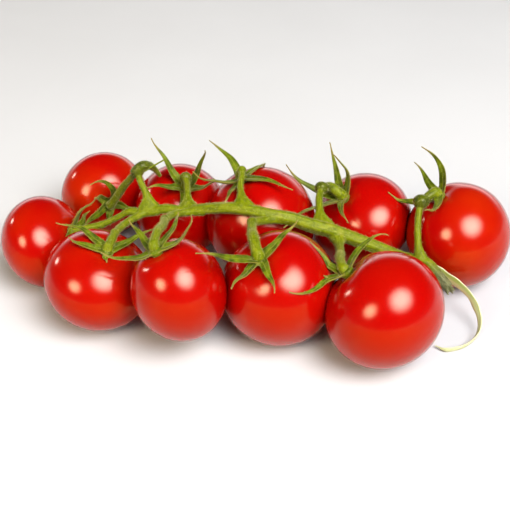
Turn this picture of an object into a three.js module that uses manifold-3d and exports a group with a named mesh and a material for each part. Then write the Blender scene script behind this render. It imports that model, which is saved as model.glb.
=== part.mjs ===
// A truss of ripe tomatoes lying on a flat surface: ten fruits on one green fruiting stem.
// Millimetres, +Z up, +X along the truss towards its torn end, origin under the middle of its box.

import * as THREE from "three";
import { mergeVertices } from "three/addons/utils/BufferGeometryUtils.js";
import Module from "manifold-3d";

const wasm = await Module();
wasm.setup();

// Driving dimensions

const GAP = 0.3; // clear space between neighbouring pieces
const WELD = 1e-4; // vertices closer than this are one

const FRUIT_SIDES = 20;
const FRUIT_RINGS = 11;
const RING_CROWDING = 1.2; // above 1 the rings crowd towards the stem end
const STEM_HALF = 0.97; // the stem half is a little flatter than an even oval
const BLOSSOM_HALF = 1.03; // and the blossom half a little longer
const DIMPLE_DEPTH = 0.11; // of the fruit's radius
const DIMPLE_SPREAD = 0.3; // radians from the stem axis
const REST_FLAT = 0.25; // skin pressed flat under a fruit that rests on the surface

const HUB_RADIUS = 2.4; // the green disc that the sepals grow from
const HUB_NECK_RADIUS = 1.5;
const HUB_RIM_LOW = 1.0; // heights above the bottom of the dimple
const HUB_RIM_HIGH = 1.7;
const HUB_TOP = 2.4;
const HUB_SIDES = 10;

const SEPAL_WIDTH = 4.2;
const SEPAL_TIP_WIDTH = 0.6;
const SEPAL_TAPER = 0.9; // below 1 a blade stays broad for longer
const SEPAL_THICKNESS = 0.9;
const SEPAL_TIP_THICKNESS = 0.6;
const SEPAL_FOLD = 0.1; // how far the edges stand up, as a share of the width
const SEPAL_ROOT = 1.5; // radius inside the hub where a blade starts
const SEPAL_SEAT = 1.3; // height of the roots above the bottom of the dimple
const SEPAL_STEPS = 7;

const RACHIS_RADIUS_TORN = 1.9; // the main stem at its torn end,
const RACHIS_RADIUS_MIDDLE = 2.4; // at its thickest
const RACHIS_RADIUS_TIP = 1.7; // and at its tip
const RACHIS_SIDES = 8;
const RACHIS_STEPS = 28;

const STALK_RADIUS = 1.15; // a fruit stalk between the main stem and its knuckle
const FOOT_FLARE_ALONG = 1.6; // extra half width along the main stem where a stalk leaves it
const FOOT_FLARE_ACROSS = 0.4; // and across it
const FOOT_FLARE_REACH = 0.25; // share of the stalk over which the flare dies away
const STALK_LANDING = 2; // straight run above the hub
const STALK_SIDES = 6;
const STALK_STEPS = 6;
const KNUCKLE_SIDES = 8;
const KNUCKLE_RINGS = 6;

const HOOK_RADIUS = 2.2; // a barren stalk, where it starts
const HOOK_TIP_RADIUS = 0.6;
const FIBRE_RADIUS = 0.4; // loose fibres at the torn end

const PEEL_WIDTH = 2.6; // the strip of skin torn away from the stem
const PEEL_TIP_WIDTH = 1.4;
const PEEL_THICKNESS = 0.9;
const PEEL_LEAN = [0.5, 0, 0.85]; // the way the strip's width leans
const PEEL_SIDES = 6;
const PEEL_STEPS = 24;

const SKIN_RED = 0xd3160c;
const CALYX_GREEN = 0x75893a;
const STEM_GREEN = 0x869522;
const PEEL_CREAM = 0xd6d29a;

// Sepals are given by their turn about the stem axis, their rise above the calyx plane,
// how much they curl and sway on the way to the tip, their length, and how far the blade rolls
// about its own length. Angles are in degrees.
const sepal = (turn, rise, curl, sway, length, roll = 0) => ({ turn, rise, curl, sway, length, roll });

// Each fruit has its place on the surface, the way its stem end faces, the stalk's route from
// the main stem up to its knuckle, points on the way from there to the calyx, and its sepals.
// The stout radius is that of the stalk beyond its knuckle.
const FRUITS = [
  {
    number: "01",
    place: [71, 8.5],
    lift: 0,
    width: 37,
    height: 37,
    pinch: 0.98,
    faces: [-0.48, 0.08, 0.87],
    rising: [[56, -7.5, 18.5], [55, -5, 23.5], [55, -1, 27], [55.5, 3, 30.5], [56.5, 6.5, 33.5]],
    falling: [],
    knuckle: 2.8,
    stout: 1.7,
    sepals: [
      sepal(20, 50, 65, -15, 19, 60),
      sepal(100, 15, 15, 0, 16),
      sepal(175, -5, 45, -40, 16, -40),
      sepal(265, -5, 45, -35, 14),
    ],
  },
  {
    number: "02",
    place: [40.4, -35.1],
    lift: 1.2,
    width: 38.6,
    height: 36,
    pinch: 1,
    faces: [-0.7, 0.33, 0.63],
    rising: [[28, -2, 25.5], [28, -8, 25.5], [28, -15, 27]],
    falling: [[27, -21.5, 30.5]],
    knuckle: 1.6,
    stout: 1.4,
    sepals: [
      sepal(50, 15, -30, -45, 18, 50),
      sepal(135, 58, 5, -25, 14),
      sepal(175, 20, 40, 0, 7),
      sepal(185, 30, -15, 30, 18, -60),
    ],
  },
  {
    number: "03",
    place: [38.5, 20.3],
    lift: 0,
    width: 36.5,
    height: 31,
    pinch: 1,
    faces: [-0.52, -0.22, 0.82],
    rising: [[22.5, -1, 28.5], [22, 4.5, 31], [22, 9.5, 33], [23, 14.5, 34]],
    falling: [[26.5, 18, 32]],
    knuckle: 2.4,
    stout: 1.9,
    sepals: [
      sepal(35, 35, 75, -5, 18),
      sepal(95, 20, 20, -20, 18),
      sepal(165, 30, 35, -40, 21),
      sepal(235, 44, -20, 5, 24),
      sepal(275, 45, -50, 10, 16),
    ],
  },
  {
    number: "04",
    place: [7.8, -22.8],
    lift: 0,
    width: 38,
    height: 38,
    pinch: 1,
    faces: [-0.36, -0.29, 0.89],
    rising: [[6.5, -3, 33.5], [2.5, -6.5, 34.5], [-1, -10.5, 36.5]],
    falling: [[-1, -16, 36.5], [-0.5, -22, 38.5]],
    knuckle: 2,
    stout: 1.6,
    sepals: [
      sepal(22, 20, 10, 0, 14.5, 30),
      sepal(35, 0, 20, 0, 8),
      sepal(223, 60, -5, -5, 23.5, -60),
      sepal(236, 20, 20, 30, 16.5),
      sepal(298, 10, -20, -20, 12.5),
    ],
  },
  {
    number: "05",
    place: [1.9, 14.2],
    lift: 0.5,
    width: 38.5,
    height: 39,
    pinch: 1,
    faces: [-0.36, 0.05, 0.93],
    rising: [[-4, -1.5, 36], [-4.5, 3, 38], [-5, 7, 39.5], [-4.5, 10.5, 41], [-4.5, 14, 41.5]],
    falling: [],
    knuckle: 1.6,
    stout: 1.5,
    sepals: [
      sepal(30, 5, -55, 90, 18),
      sepal(100, 35, 5, 40, 17),
      sepal(215, 20, 40, -10, 17),
      sepal(255, 10, -10, -20, 13),
      sepal(320, 10, -45, 15, 18),
    ],
  },
  {
    number: "06",
    place: [-24.1, -30.2],
    lift: 7,
    width: 31,
    height: 34.5,
    pinch: 0.97,
    faces: [-0.4, 0, 0.92],
    rising: [[-24, 3.5, 31.5], [-27, 0, 33], [-29.5, -8, 36]],
    falling: [[-29.5, -16, 39], [-30.5, -23, 41.5]],
    knuckle: 1.6,
    stout: 1.4,
    sepals: [
      sepal(50, 5, -5, 30, 15),
      sepal(125, 10, 10, -15, 16),
      sepal(195, -5, 55, -30, 15),
      sepal(355, -5, 65, -10, 17),
    ],
  },
  {
    number: "07",
    place: [-27.2, 27.2],
    lift: 0,
    width: 34.6,
    height: 32.5,
    pinch: 0.97,
    faces: [0.17, -0.42, 0.89],
    rising: [[-22.5, 3.5, 32], [-23, 9, 33.5], [-23.5, 14.5, 34.5], [-24.3, 19.7, 35]],
    falling: [],
    knuckle: 2.1,
    stout: 1.6,
    sepals: [
      sepal(35, 60, 35, 5, 19),
      sepal(140, 25, 10, -10, 18),
      sepal(205, 45, -30, 0, 15),
      sepal(265, 20, -40, 0, 9),
      sepal(330, 50, 10, 0, 16),
    ],
  },
  {
    number: "08",
    place: [-52, -15.3],
    lift: 1,
    width: 36.4,
    height: 30.5,
    pinch: 1,
    faces: [0.3, -0.15, 0.94],
    rising: [[-40.5, 4, 29.5], [-42, 0, 30], [-44.5, -5, 31], [-46, -10, 32]],
    falling: [],
    knuckle: 1.5,
    stout: 1.5,
    sepals: [
      sepal(35, 10, 5, 10, 16),
      sepal(140, 10, -25, 25, 17),
      sepal(195, 15, -40, -60, 12),
      sepal(270, 5, -20, 0, 5),
    ],
  },
  {
    number: "09",
    place: [-56.7, 39],
    lift: 0,
    width: 32,
    height: 28.5,
    pinch: 1,
    faces: [0.28, -0.92, 0.28],
    rising: [[-36, 5.5, 30.5], [-37, 9, 34.5], [-39, 12, 37.5], [-40.5, 15.5, 40]],
    falling: [[-46, 20, 31.5]],
    knuckle: 2.4,
    stout: 1.4,
    sepals: [
      sepal(60, 45, -30, 130, 17),
      sepal(140, 20, 60, 0, 10),
      sepal(195, 55, 0, 0, 20),
      sepal(265, 20, -30, 0, 6),
      sepal(355, 20, -10, -30, 8),
    ],
  },
  {
    number: "10",
    place: [-73.7, 8],
    lift: 0,
    width: 33,
    height: 27,
    pinch: 1,
    faces: [0.85, -0.22, 0.48],
    rising: [[-39.5, 6, 29], [-43, 6.5, 29.5], [-46.5, 6.5, 27.5], [-50, 6.5, 25.5], [-53, 6.5, 24]],
    falling: [],
    knuckle: 1.4,
    stout: 1.3,
    sepals: [
      sepal(60, 10, -30, 0, 13),
      sepal(130, 45, 40, 10, 15),
      sepal(235, 10, 0, -15, 9),
      sepal(350, 20, 0, 0, 9),
    ],
  },
];

// Neighbours that press against each other
const PRESSED = [
  ["01", "03"],
  ["02", "04"],
  ["03", "05"],
  ["04", "05"],
  ["04", "06"],
  ["05", "07"],
  ["06", "08"],
  ["07", "09"],
  ["08", "10"],
];

// The main stem, from its torn end to its tip
const RACHIS_ROUTE = [
  [65, -14, 12.5],
  [61.5, -11, 15.5],
  [57.5, -8, 18.5],
  [50, -5, 18.5],
  [43, -3, 20.5],
  [32.5, -2, 24.5],
  [25.5, -2, 27.5],
  [18.5, -2.5, 30],
  [12, -3, 33],
  [5, -3, 34.5],
  [-1.5, -2, 35.5],
  [-8.5, -0.5, 35.5],
  [-18.5, 2.5, 33],
  [-24, 3.5, 31.5],
  [-30.5, 5, 31.5],
  [-39.5, 6, 29],
];

// A barren stalk that hooks over behind the highest knuckle
const HOOK_ROUTE = [
  [-40.5, 15.5, 40.5],
  [-38.5, 16, 42],
  [-36.5, 18.5, 40.5],
  [-35, 21, 37.5],
  [-33.5, 23, 33.5],
];

// Where the loose fibres at the torn end point
const FIBRE_TIPS = [[64.5, -16.5, 11.5], [66.5, -15.5, 11], [66.5, -16, 12.5]];

// The torn strip, from beside the stem's end down to the surface and round towards the fruit
const PEEL_ROUTE = [
  [63.5, -8.8, 14.5],
  [66, -11, 14],
  [68.5, -13, 13],
  [71, -15, 11.5],
  [73, -17, 9.5],
  [75, -21.5, 5.5],
  [74.5, -25, 3.5],
  [72.5, -28, 2],
  [69.5, -30.5, 1.3],
  [66, -32, 1.1],
  [62.5, -32.5, 1],
  [59.5, -30.5, 1],
];

// Closed meshes and solids

const vector = (point) => new THREE.Vector3(...point);

// Joins rings of points, each turning about the way the rings follow each other, into a closed skin.
function loft(rings) {
  const sides = rings[0].length;
  const last = rings.length - 1;
  const positions = rings.flat().flatMap((point) => point.toArray());
  const [firstCentre, lastCentre] = [rings[0], rings[last]].map((ring, end) => {
    const sum = ring.reduce((total, point) => total.add(point), new THREE.Vector3());
    positions.push(...sum.divideScalar(sides).toArray());
    return rings.length * sides + end;
  });
  const faces = [];
  for (let side = 0; side < sides; side += 1) {
    const next = (side + 1) % sides;
    for (let step = 0; step < last; step += 1) {
      const low = step * sides;
      const high = low + sides;
      faces.push(low + side, low + next, high + next);
      faces.push(low + side, high + next, high + side);
    }
    faces.push(firstCentre, next, side);
    faces.push(lastCentre, last * sides + side, last * sides + next);
  }
  const geometry = new THREE.BufferGeometry();
  geometry.setAttribute("position", new THREE.Float32BufferAttribute(positions, 3));
  geometry.setIndex(faces);
  return geometry;
}

// A closed tube along a smooth route. Its half width lies along the given direction.
function sweep(route, steps, sides, direction, halfWidthAt, halfThicknessAt = halfWidthAt) {
  const curve = new THREE.CatmullRomCurve3(route);
  const rings = [];
  for (let step = 0; step <= steps; step += 1) {
    const share = step / steps;
    const centre = curve.getPointAt(share);
    const along = curve.getTangentAt(share);
    const across = direction.clone().addScaledVector(along, -direction.dot(along)).normalize();
    const up = new THREE.Vector3().crossVectors(along, across);
    const ring = [];
    for (let side = 0; side < sides; side += 1) {
      const angle = (2 * Math.PI * side) / sides;
      const point = centre.clone();
      point.addScaledVector(across, Math.cos(angle) * halfWidthAt(share));
      point.addScaledVector(up, Math.sin(angle) * halfThicknessAt(share));
      ring.push(point);
    }
    rings.push(ring);
  }
  return loft(rings);
}

function solidOf(geometry) {
  const bare = geometry.clone();
  bare.deleteAttribute("normal");
  bare.deleteAttribute("uv");
  const welded = mergeVertices(bare, WELD);
  const corners = welded.index.array;
  const triVerts = [];
  for (let corner = 0; corner < corners.length; corner += 3) {
    const [a, b, c] = corners.slice(corner, corner + 3);
    if (a !== b && b !== c && c !== a) {
      triVerts.push(a, b, c);
    }
  }
  const mesh = new wasm.Mesh({
    numProp: 3,
    vertProperties: new Float32Array(welded.attributes.position.array),
    triVerts: new Uint32Array(triVerts),
  });
  return new wasm.Manifold(mesh);
}

function geometryOf(solid) {
  const mesh = solid.getMesh();
  const geometry = new THREE.BufferGeometry();
  geometry.setAttribute("position", new THREE.BufferAttribute(mesh.vertProperties, 3));
  geometry.setIndex(new THREE.BufferAttribute(mesh.triVerts, 1));
  geometry.computeVertexNormals();
  return geometry;
}

const joined = (geometries) => geometries.map(solidOf).reduce((whole, piece) => whole.add(piece));

// A fruit

function skinRadius(fruit, polar) {
  const half = Math.cos(polar) > 0 ? STEM_HALF : BLOSSOM_HALF;
  const ratio = (half * fruit.height) / fruit.width;
  const oval = 1 / Math.hypot(Math.sin(polar), Math.cos(polar) / ratio);
  const dimple = DIMPLE_DEPTH * Math.exp(-((polar / DIMPLE_SPREAD) ** 2));
  return (fruit.width / 2) * (oval - dimple);
}

// Turns a shape made about the Y axis so that it stands on the fruit's stem axis.
function stoodOn(fruit, geometry) {
  const upright = new THREE.Vector3(0, 1, 0);
  return geometry.applyQuaternion(new THREE.Quaternion().setFromUnitVectors(upright, fruit.axis));
}

function fruitSkin(fruit) {
  const profile = [];
  for (let ring = FRUIT_RINGS; ring >= 0; ring -= 1) {
    const polar = Math.PI * (ring / FRUIT_RINGS) ** RING_CROWDING;
    const radius = skinRadius(fruit, polar);
    const pole = ring === 0 || ring === FRUIT_RINGS;
    profile.push(new THREE.Vector2(pole ? 0 : radius * Math.sin(polar), radius * Math.cos(polar)));
  }
  const skin = stoodOn(fruit, new THREE.LatheGeometry(profile, FRUIT_SIDES));
  skin.scale(fruit.pinch, 1, 1);
  skin.computeBoundingBox();
  return skin;
}

// Adds to a fruit its stem axis, two directions across it, its skin and its centre.
function placed(fruit) {
  const axis = vector(fruit.faces).normalize();
  const right = new THREE.Vector3(1, 0, 0).addScaledVector(axis, -axis.x).normalize();
  const back = new THREE.Vector3().crossVectors(axis, right);
  const framed = { ...fruit, axis, right, back };
  const skin = fruitSkin(framed);
  const sunk = fruit.lift === 0 ? REST_FLAT : 0;
  const centre = new THREE.Vector3(...fruit.place, fruit.lift - sunk - skin.boundingBox.min.z);
  skin.translate(...centre.toArray());
  return { ...framed, skin, centre };
}

// How far the skin is from the fruit's centre, along a way
function reach(fruit, way) {
  const ray = way.clone();
  ray.x /= fruit.pinch;
  return skinRadius(fruit, ray.angleTo(fruit.axis)) / ray.length();
}

// A solid cut flat where another fruit presses against it, with half the gap left between them
function pressed(solid, fruit, other) {
  const way = other.centre.clone().sub(fruit.centre);
  const apart = way.length();
  way.normalize();
  const own = reach(fruit, way);
  const overlap = own + reach(other, way.clone().negate()) - apart;
  const flat = own - (overlap + GAP) / 2;
  const cut = way.dot(fruit.centre) + flat;
  return solid.trimByPlane(way.negate().toArray(), -cut);
}

function neighbours(fruit, fruits) {
  const numbers = PRESSED.filter((pair) => pair.includes(fruit.number)).flat();
  return fruits.filter((other) => other !== fruit && numbers.includes(other.number));
}

function tomato(fruit) {
  const standing = solidOf(fruit.skin).trimByPlane([0, 0, 1], 0);
  return geometryOf(fruit.beside.reduce((solid, other) => pressed(solid, fruit, other), standing));
}

// A point on the fruit's stem axis, at a height above the bottom of its dimple
function onAxis(fruit, height) {
  const bottom = fruit.axis.clone().multiplyScalar(skinRadius(fruit, 0));
  bottom.x *= fruit.pinch;
  return fruit.centre.clone().add(bottom).addScaledVector(fruit.axis, height);
}

// Moves a point out until it is at least this far above the fruit's skin.
function clearOf(fruit, point, distance) {
  const ray = point.clone().sub(fruit.centre);
  ray.x /= fruit.pinch;
  const least = skinRadius(fruit, ray.angleTo(fruit.axis)) + distance;
  ray.setLength(Math.max(ray.length(), least));
  ray.x *= fruit.pinch;
  return ray.add(fruit.centre);
}

// Moves a point clear of a fruit and of the fruits beside it.
function clearOfAll(fruit, point, distance) {
  const near = [...fruit.beside, fruit];
  return [...near, ...near].reduce((moved, other) => clearOf(other, moved, distance), point);
}

// A calyx

function hub(fruit) {
  const profile = [
    [0, GAP],
    [HUB_RADIUS, HUB_RIM_LOW],
    [HUB_RADIUS, HUB_RIM_HIGH],
    [HUB_NECK_RADIUS, HUB_TOP],
    [0, HUB_TOP],
  ];
  const outline = profile.map((point) => new THREE.Vector2(...point));
  const disc = stoodOn(fruit, new THREE.LatheGeometry(outline, HUB_SIDES));
  return disc.translate(...onAxis(fruit, 0).toArray());
}

// The way out from the stem axis and the way a blade runs, at a share of its length
function heading(fruit, { turn, rise, curl, sway }, share) {
  const angle = THREE.MathUtils.degToRad(turn + sway * share);
  const climb = THREE.MathUtils.degToRad(rise + curl * share);
  const out = fruit.right.clone().multiplyScalar(Math.cos(angle));
  out.addScaledVector(fruit.back, Math.sin(angle));
  const along = out.clone().multiplyScalar(Math.cos(climb));
  along.addScaledVector(fruit.axis, Math.sin(climb));
  return { out, along };
}

function sepalBlade(fruit, shape) {
  const stride = shape.length / SEPAL_STEPS;
  const free = onAxis(fruit, SEPAL_SEAT).addScaledVector(heading(fruit, shape, 0).out, SEPAL_ROOT);
  const rings = [];
  for (let step = 0; step <= SEPAL_STEPS; step += 1) {
    const share = step / SEPAL_STEPS;
    const narrowing = (1 - share) ** SEPAL_TAPER;
    const halfWidth = THREE.MathUtils.lerp(SEPAL_TIP_WIDTH, SEPAL_WIDTH, narrowing) / 2;
    const halfThickness = THREE.MathUtils.lerp(SEPAL_THICKNESS, SEPAL_TIP_THICKNESS, share) / 2;
    const { out, along } = heading(fruit, shape, share);
    const side = new THREE.Vector3().crossVectors(fruit.axis, out);
    side.addScaledVector(along, -side.dot(along)).normalize();
    side.applyAxisAngle(along, THREE.MathUtils.degToRad(shape.roll * Math.min(1, 2 * share)));
    const up = new THREE.Vector3().crossVectors(along, side);
    const centre = clearOfAll(fruit, free, GAP + halfThickness);
    const lip = 2 * halfWidth * SEPAL_FOLD;
    const ring = [
      centre.clone().addScaledVector(side, halfWidth).addScaledVector(up, lip),
      centre.clone().addScaledVector(up, halfThickness),
      centre.clone().addScaledVector(side, -halfWidth).addScaledVector(up, lip),
      centre.clone().addScaledVector(up, -halfThickness),
    ];
    rings.push(ring.map((point) => clearOfAll(fruit, point, GAP)));
    free.addScaledVector(heading(fruit, shape, share + 0.5 / SEPAL_STEPS).along, stride);
  }
  return loft(rings);
}

function calyx(fruit) {
  const blades = fruit.sepals.map((shape) => sepalBlade(fruit, shape));
  return geometryOf(joined([hub(fruit), ...blades]));
}

// The stem

const ALONG_TRUSS = new THREE.Vector3(1, 0, 0);
const ACROSS_TRUSS = new THREE.Vector3(0, 1, 0);

// Whichever of the two directions a route runs less along
function crosswise(route) {
  const run = route[route.length - 1].clone().sub(route[0]);
  return Math.abs(run.x) < Math.abs(run.y) ? ALONG_TRUSS : ACROSS_TRUSS;
}

function rachis() {
  const radiusAt = (share) => {
    const plain = THREE.MathUtils.lerp(RACHIS_RADIUS_TORN, RACHIS_RADIUS_TIP, share);
    return plain + (RACHIS_RADIUS_MIDDLE - RACHIS_RADIUS_TORN) * Math.sin(Math.PI * share);
  };
  return sweep(RACHIS_ROUTE.map(vector), RACHIS_STEPS, RACHIS_SIDES, ACROSS_TRUSS, radiusAt);
}

function stalk(fruit) {
  const rising = fruit.rising.map(vector);
  const top = rising[rising.length - 1];
  const landing = [1, 0.5, 0].map((share) => onAxis(fruit, HUB_TOP + GAP + share * STALK_LANDING));
  const falling = [top, ...fruit.falling.map(vector), ...landing];
  const flared = (flare) => (share) =>
    STALK_RADIUS + flare * Math.exp(-((share / FOOT_FLARE_REACH) ** 2));
  const thickening = (share) => THREE.MathUtils.lerp(STALK_RADIUS, fruit.stout, Math.min(1, 2 * share));
  const knuckle = new THREE.SphereGeometry(fruit.knuckle, KNUCKLE_SIDES, KNUCKLE_RINGS);
  knuckle.translate(...top.toArray());
  const [wide, narrow] = [FOOT_FLARE_ALONG, FOOT_FLARE_ACROSS].map(flared);
  return [
    sweep(rising, STALK_STEPS, STALK_SIDES, crosswise(rising), wide, narrow),
    knuckle,
    sweep(falling, STALK_STEPS, STALK_SIDES, crosswise(falling), thickening),
  ];
}

function hook() {
  const route = HOOK_ROUTE.map(vector);
  const radiusAt = (share) => THREE.MathUtils.lerp(HOOK_RADIUS, HOOK_TIP_RADIUS, share);
  return sweep(route, STALK_STEPS, STALK_SIDES, crosswise(route), radiusAt);
}

function fibre(tip) {
  const route = [vector(RACHIS_ROUTE[0]).lerp(vector(RACHIS_ROUTE[1]), 0.2), vector(tip)];
  return sweep(route, 2, STALK_SIDES, ALONG_TRUSS, () => FIBRE_RADIUS);
}

function stem(fruits) {
  return geometryOf(joined([rachis(), ...fruits.flatMap(stalk), hook(), ...FIBRE_TIPS.map(fibre)]));
}

function peel() {
  const halfWidth = (share) => THREE.MathUtils.lerp(PEEL_WIDTH, PEEL_TIP_WIDTH, share) / 2;
  const halfThickness = () => PEEL_THICKNESS / 2;
  const route = PEEL_ROUTE.map(vector);
  return sweep(route, PEEL_STEPS, PEEL_SIDES, vector(PEEL_LEAN), halfWidth, halfThickness);
}

// The whole truss

function finish(color, roughness) {
  return new THREE.MeshStandardMaterial({ color, roughness, metalness: 0 });
}

function named(name, geometry, material) {
  const mesh = new THREE.Mesh(geometry, material);
  mesh.name = name;
  return mesh;
}

const fruits = FRUITS.map(placed);
const truss = new THREE.Group();
for (const fruit of fruits) {
  fruit.beside = neighbours(fruit, fruits);
  truss.add(named(`tomato_${fruit.number}`, tomato(fruit), finish(SKIN_RED, 0.2)));
  truss.add(named(`calyx_${fruit.number}`, calyx(fruit), finish(CALYX_GREEN, 0.7)));
}
truss.add(named("stem", stem(fruits), finish(STEM_GREEN, 0.6)));
truss.add(named("stem_peel", peel(), finish(PEEL_CREAM, 0.6)));

export default truss;
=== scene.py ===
"""A truss of ripe tomatoes on a pale table: ten fruits on one green fruiting stem.

The lists of places and routes are in millimetres, as they are in the part's source. The meshes
are made in metres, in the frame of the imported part.
"""

import logging
import math
from dataclasses import dataclass, field
from enum import Enum
from functools import cached_property

import bpy
import numpy as np
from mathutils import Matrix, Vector, kdtree


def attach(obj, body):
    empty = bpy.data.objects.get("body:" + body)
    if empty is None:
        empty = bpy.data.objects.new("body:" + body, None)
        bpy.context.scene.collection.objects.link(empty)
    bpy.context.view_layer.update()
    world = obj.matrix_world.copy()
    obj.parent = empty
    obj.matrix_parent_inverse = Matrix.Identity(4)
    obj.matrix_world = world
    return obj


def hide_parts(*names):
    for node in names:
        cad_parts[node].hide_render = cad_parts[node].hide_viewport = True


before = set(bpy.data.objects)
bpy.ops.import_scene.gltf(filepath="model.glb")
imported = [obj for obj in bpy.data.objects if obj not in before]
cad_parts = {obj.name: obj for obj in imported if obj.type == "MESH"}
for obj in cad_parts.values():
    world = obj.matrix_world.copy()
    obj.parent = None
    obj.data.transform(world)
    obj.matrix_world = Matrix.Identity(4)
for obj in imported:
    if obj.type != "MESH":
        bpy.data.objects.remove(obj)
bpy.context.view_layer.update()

log = logging.getLogger("truss")

MM = 0.001
BODY = "root"

Point = tuple[float, float, float]
Route = tuple[Point, ...]
Span = tuple[float, float]
Colour = tuple[float, float, float]
Socket = bpy.types.NodeSocket

ALONG_TRUSS: Point = (1.0, 0.0, 0.0)
ACROSS_TRUSS: Point = (0.0, 1.0, 0.0)
STRAIGHT_UP: Point = (0.0, 0.0, 1.0)


class Slot(Enum):
    """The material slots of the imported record."""

    SKIN = "tomato_skin"
    CALYX = "calyx_green"
    STEM = "stem_green"
    PEEL = "peel_cream"


class Mark(Enum):
    """Values kept on the points of a mesh, which its finish reads."""

    ALONG = "along"
    ACROSS = "across"
    UPPER = "upper"
    AROUND = "around"
    POLAR = "polar"
    BLUSH = "blush"
    SWOLLEN = "swollen"


class Kind(Enum):
    """The shader nodes that the finishes and the light are made of."""

    ATTRIBUTE = "ShaderNodeAttribute"
    BUMP = "ShaderNodeBump"
    COMBINE = "ShaderNodeCombineXYZ"
    COORDINATES = "ShaderNodeTexCoord"
    GEOMETRY = "ShaderNodeNewGeometry"
    MATH = "ShaderNodeMath"
    MIX = "ShaderNodeMix"
    NOISE = "ShaderNodeTexNoise"
    RAMP = "ShaderNodeMapRange"
    SEPARATE = "ShaderNodeSeparateXYZ"
    VECTOR = "ShaderNodeVectorMath"
    VORONOI = "ShaderNodeTexVoronoi"


class Seed(Enum):
    """Where the random draws of each kind of piece start."""

    FRUIT = 0
    SEPALS = 100
    STAR_HAIRS = 200
    STEM_HAIRS = 300
    FRAYS = 400

    def draws(self, number: str = "0") -> np.random.Generator:
        """The draws of the piece with this number."""
        return np.random.default_rng(self.value + int(number))


# Small geometry helpers


def unit(vectors: np.ndarray) -> np.ndarray:
    """The same directions at length one, row by row."""
    return vectors / np.linalg.norm(vectors, axis=-1, keepdims=True)


def lerp(start: float, end: float, share: np.ndarray) -> np.ndarray:
    """Values on the straight way from start to end."""
    return start + (end - start) * share


def bell(values: np.ndarray, spread: float) -> np.ndarray:
    """A soft rise to one where the values are nothing."""
    return np.exp(-((values / spread) ** 2))


def round_turns(count: int) -> np.ndarray:
    """Evenly spaced angles round a ring."""
    return np.linspace(0, 2 * math.pi, count, endpoint=False)


def turned(vectors: np.ndarray, axes: np.ndarray, angles: np.ndarray) -> np.ndarray:
    """Turns each vector about its own unit axis.

    Args:
        vectors: Rows to turn.
        axes: Unit axes, one for each row.
        angles: Angles in radians, one for each row.

    Returns:
        The turned rows.
    """
    cosine = np.cos(angles)[:, None]
    sine = np.sin(angles)[:, None]
    lengthwise = np.sum(vectors * axes, axis=1, keepdims=True) * axes
    return vectors * cosine + np.cross(axes, vectors) * sine + lengthwise * (1 - cosine)


@dataclass(frozen=True)
class SmoothLine:
    """A smooth line through a few chosen points, measured by its own length."""

    points: Route
    span_samples: int = 40
    nudge: float = 0.004

    @cached_property
    def dense(self) -> np.ndarray:
        """Many points on the line, a centripetal curve through the chosen ones."""
        given = np.array(self.points, float)
        ends = 2 * given[[0, -1]] - given[[1, -2]]
        knots = np.vstack([ends[:1], given, ends[1:]])
        spans = np.sqrt(np.linalg.norm(np.diff(knots, axis=0), axis=1))
        shares = np.linspace(0, 1, self.span_samples, endpoint=False)[:, None]
        pieces = []
        for index in range(1, len(knots) - 2):
            before, start, end, after = knots[index - 1 : index + 3]
            lead, span, trail = spans[index - 1 : index + 2]
            leaving = (start - before) / lead - (end - before) / (lead + span) + (end - start) / span
            arriving = (end - start) / span - (after - start) / (span + trail) + (after - end) / trail
            leaving, arriving = leaving * span, arriving * span
            square = 3 * (end - start) - 2 * leaving - arriving
            cube = 2 * (start - end) + leaving + arriving
            pieces.append(start + leaving * shares + square * shares**2 + cube * shares**3)
        return np.vstack([*pieces, given[-1:]])

    @cached_property
    def reach(self) -> np.ndarray:
        """How far along the line each dense point is."""
        steps = np.linalg.norm(np.diff(self.dense, axis=0), axis=1)
        return np.concatenate([[0.0], np.cumsum(steps)])

    @property
    def length(self) -> float:
        """The line's whole length."""
        return float(self.reach[-1])

    @property
    def crosswise(self) -> Point:
        """Whichever of +X and +Y the line runs less along."""
        run = np.subtract(self.points[-1], self.points[0])
        return ALONG_TRUSS if abs(run[0]) < abs(run[1]) else ACROSS_TRUSS

    def at(self, shares: np.ndarray) -> np.ndarray:
        """The points at these shares of the length."""
        wanted = shares * self.length
        return np.stack([np.interp(wanted, self.reach, self.dense[:, k]) for k in range(3)], axis=1)

    def headings(self, shares: np.ndarray) -> np.ndarray:
        """The unit directions at these shares of the length.

        Args:
            shares: Shares of the line's length, from nothing to one.

        Returns:
            A direction for each share.
        """
        ahead = self.at(np.clip(shares + self.nudge, 0, 1))
        behind = self.at(np.clip(shares - self.nudge, 0, 1))
        return unit(ahead - behind)


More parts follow.
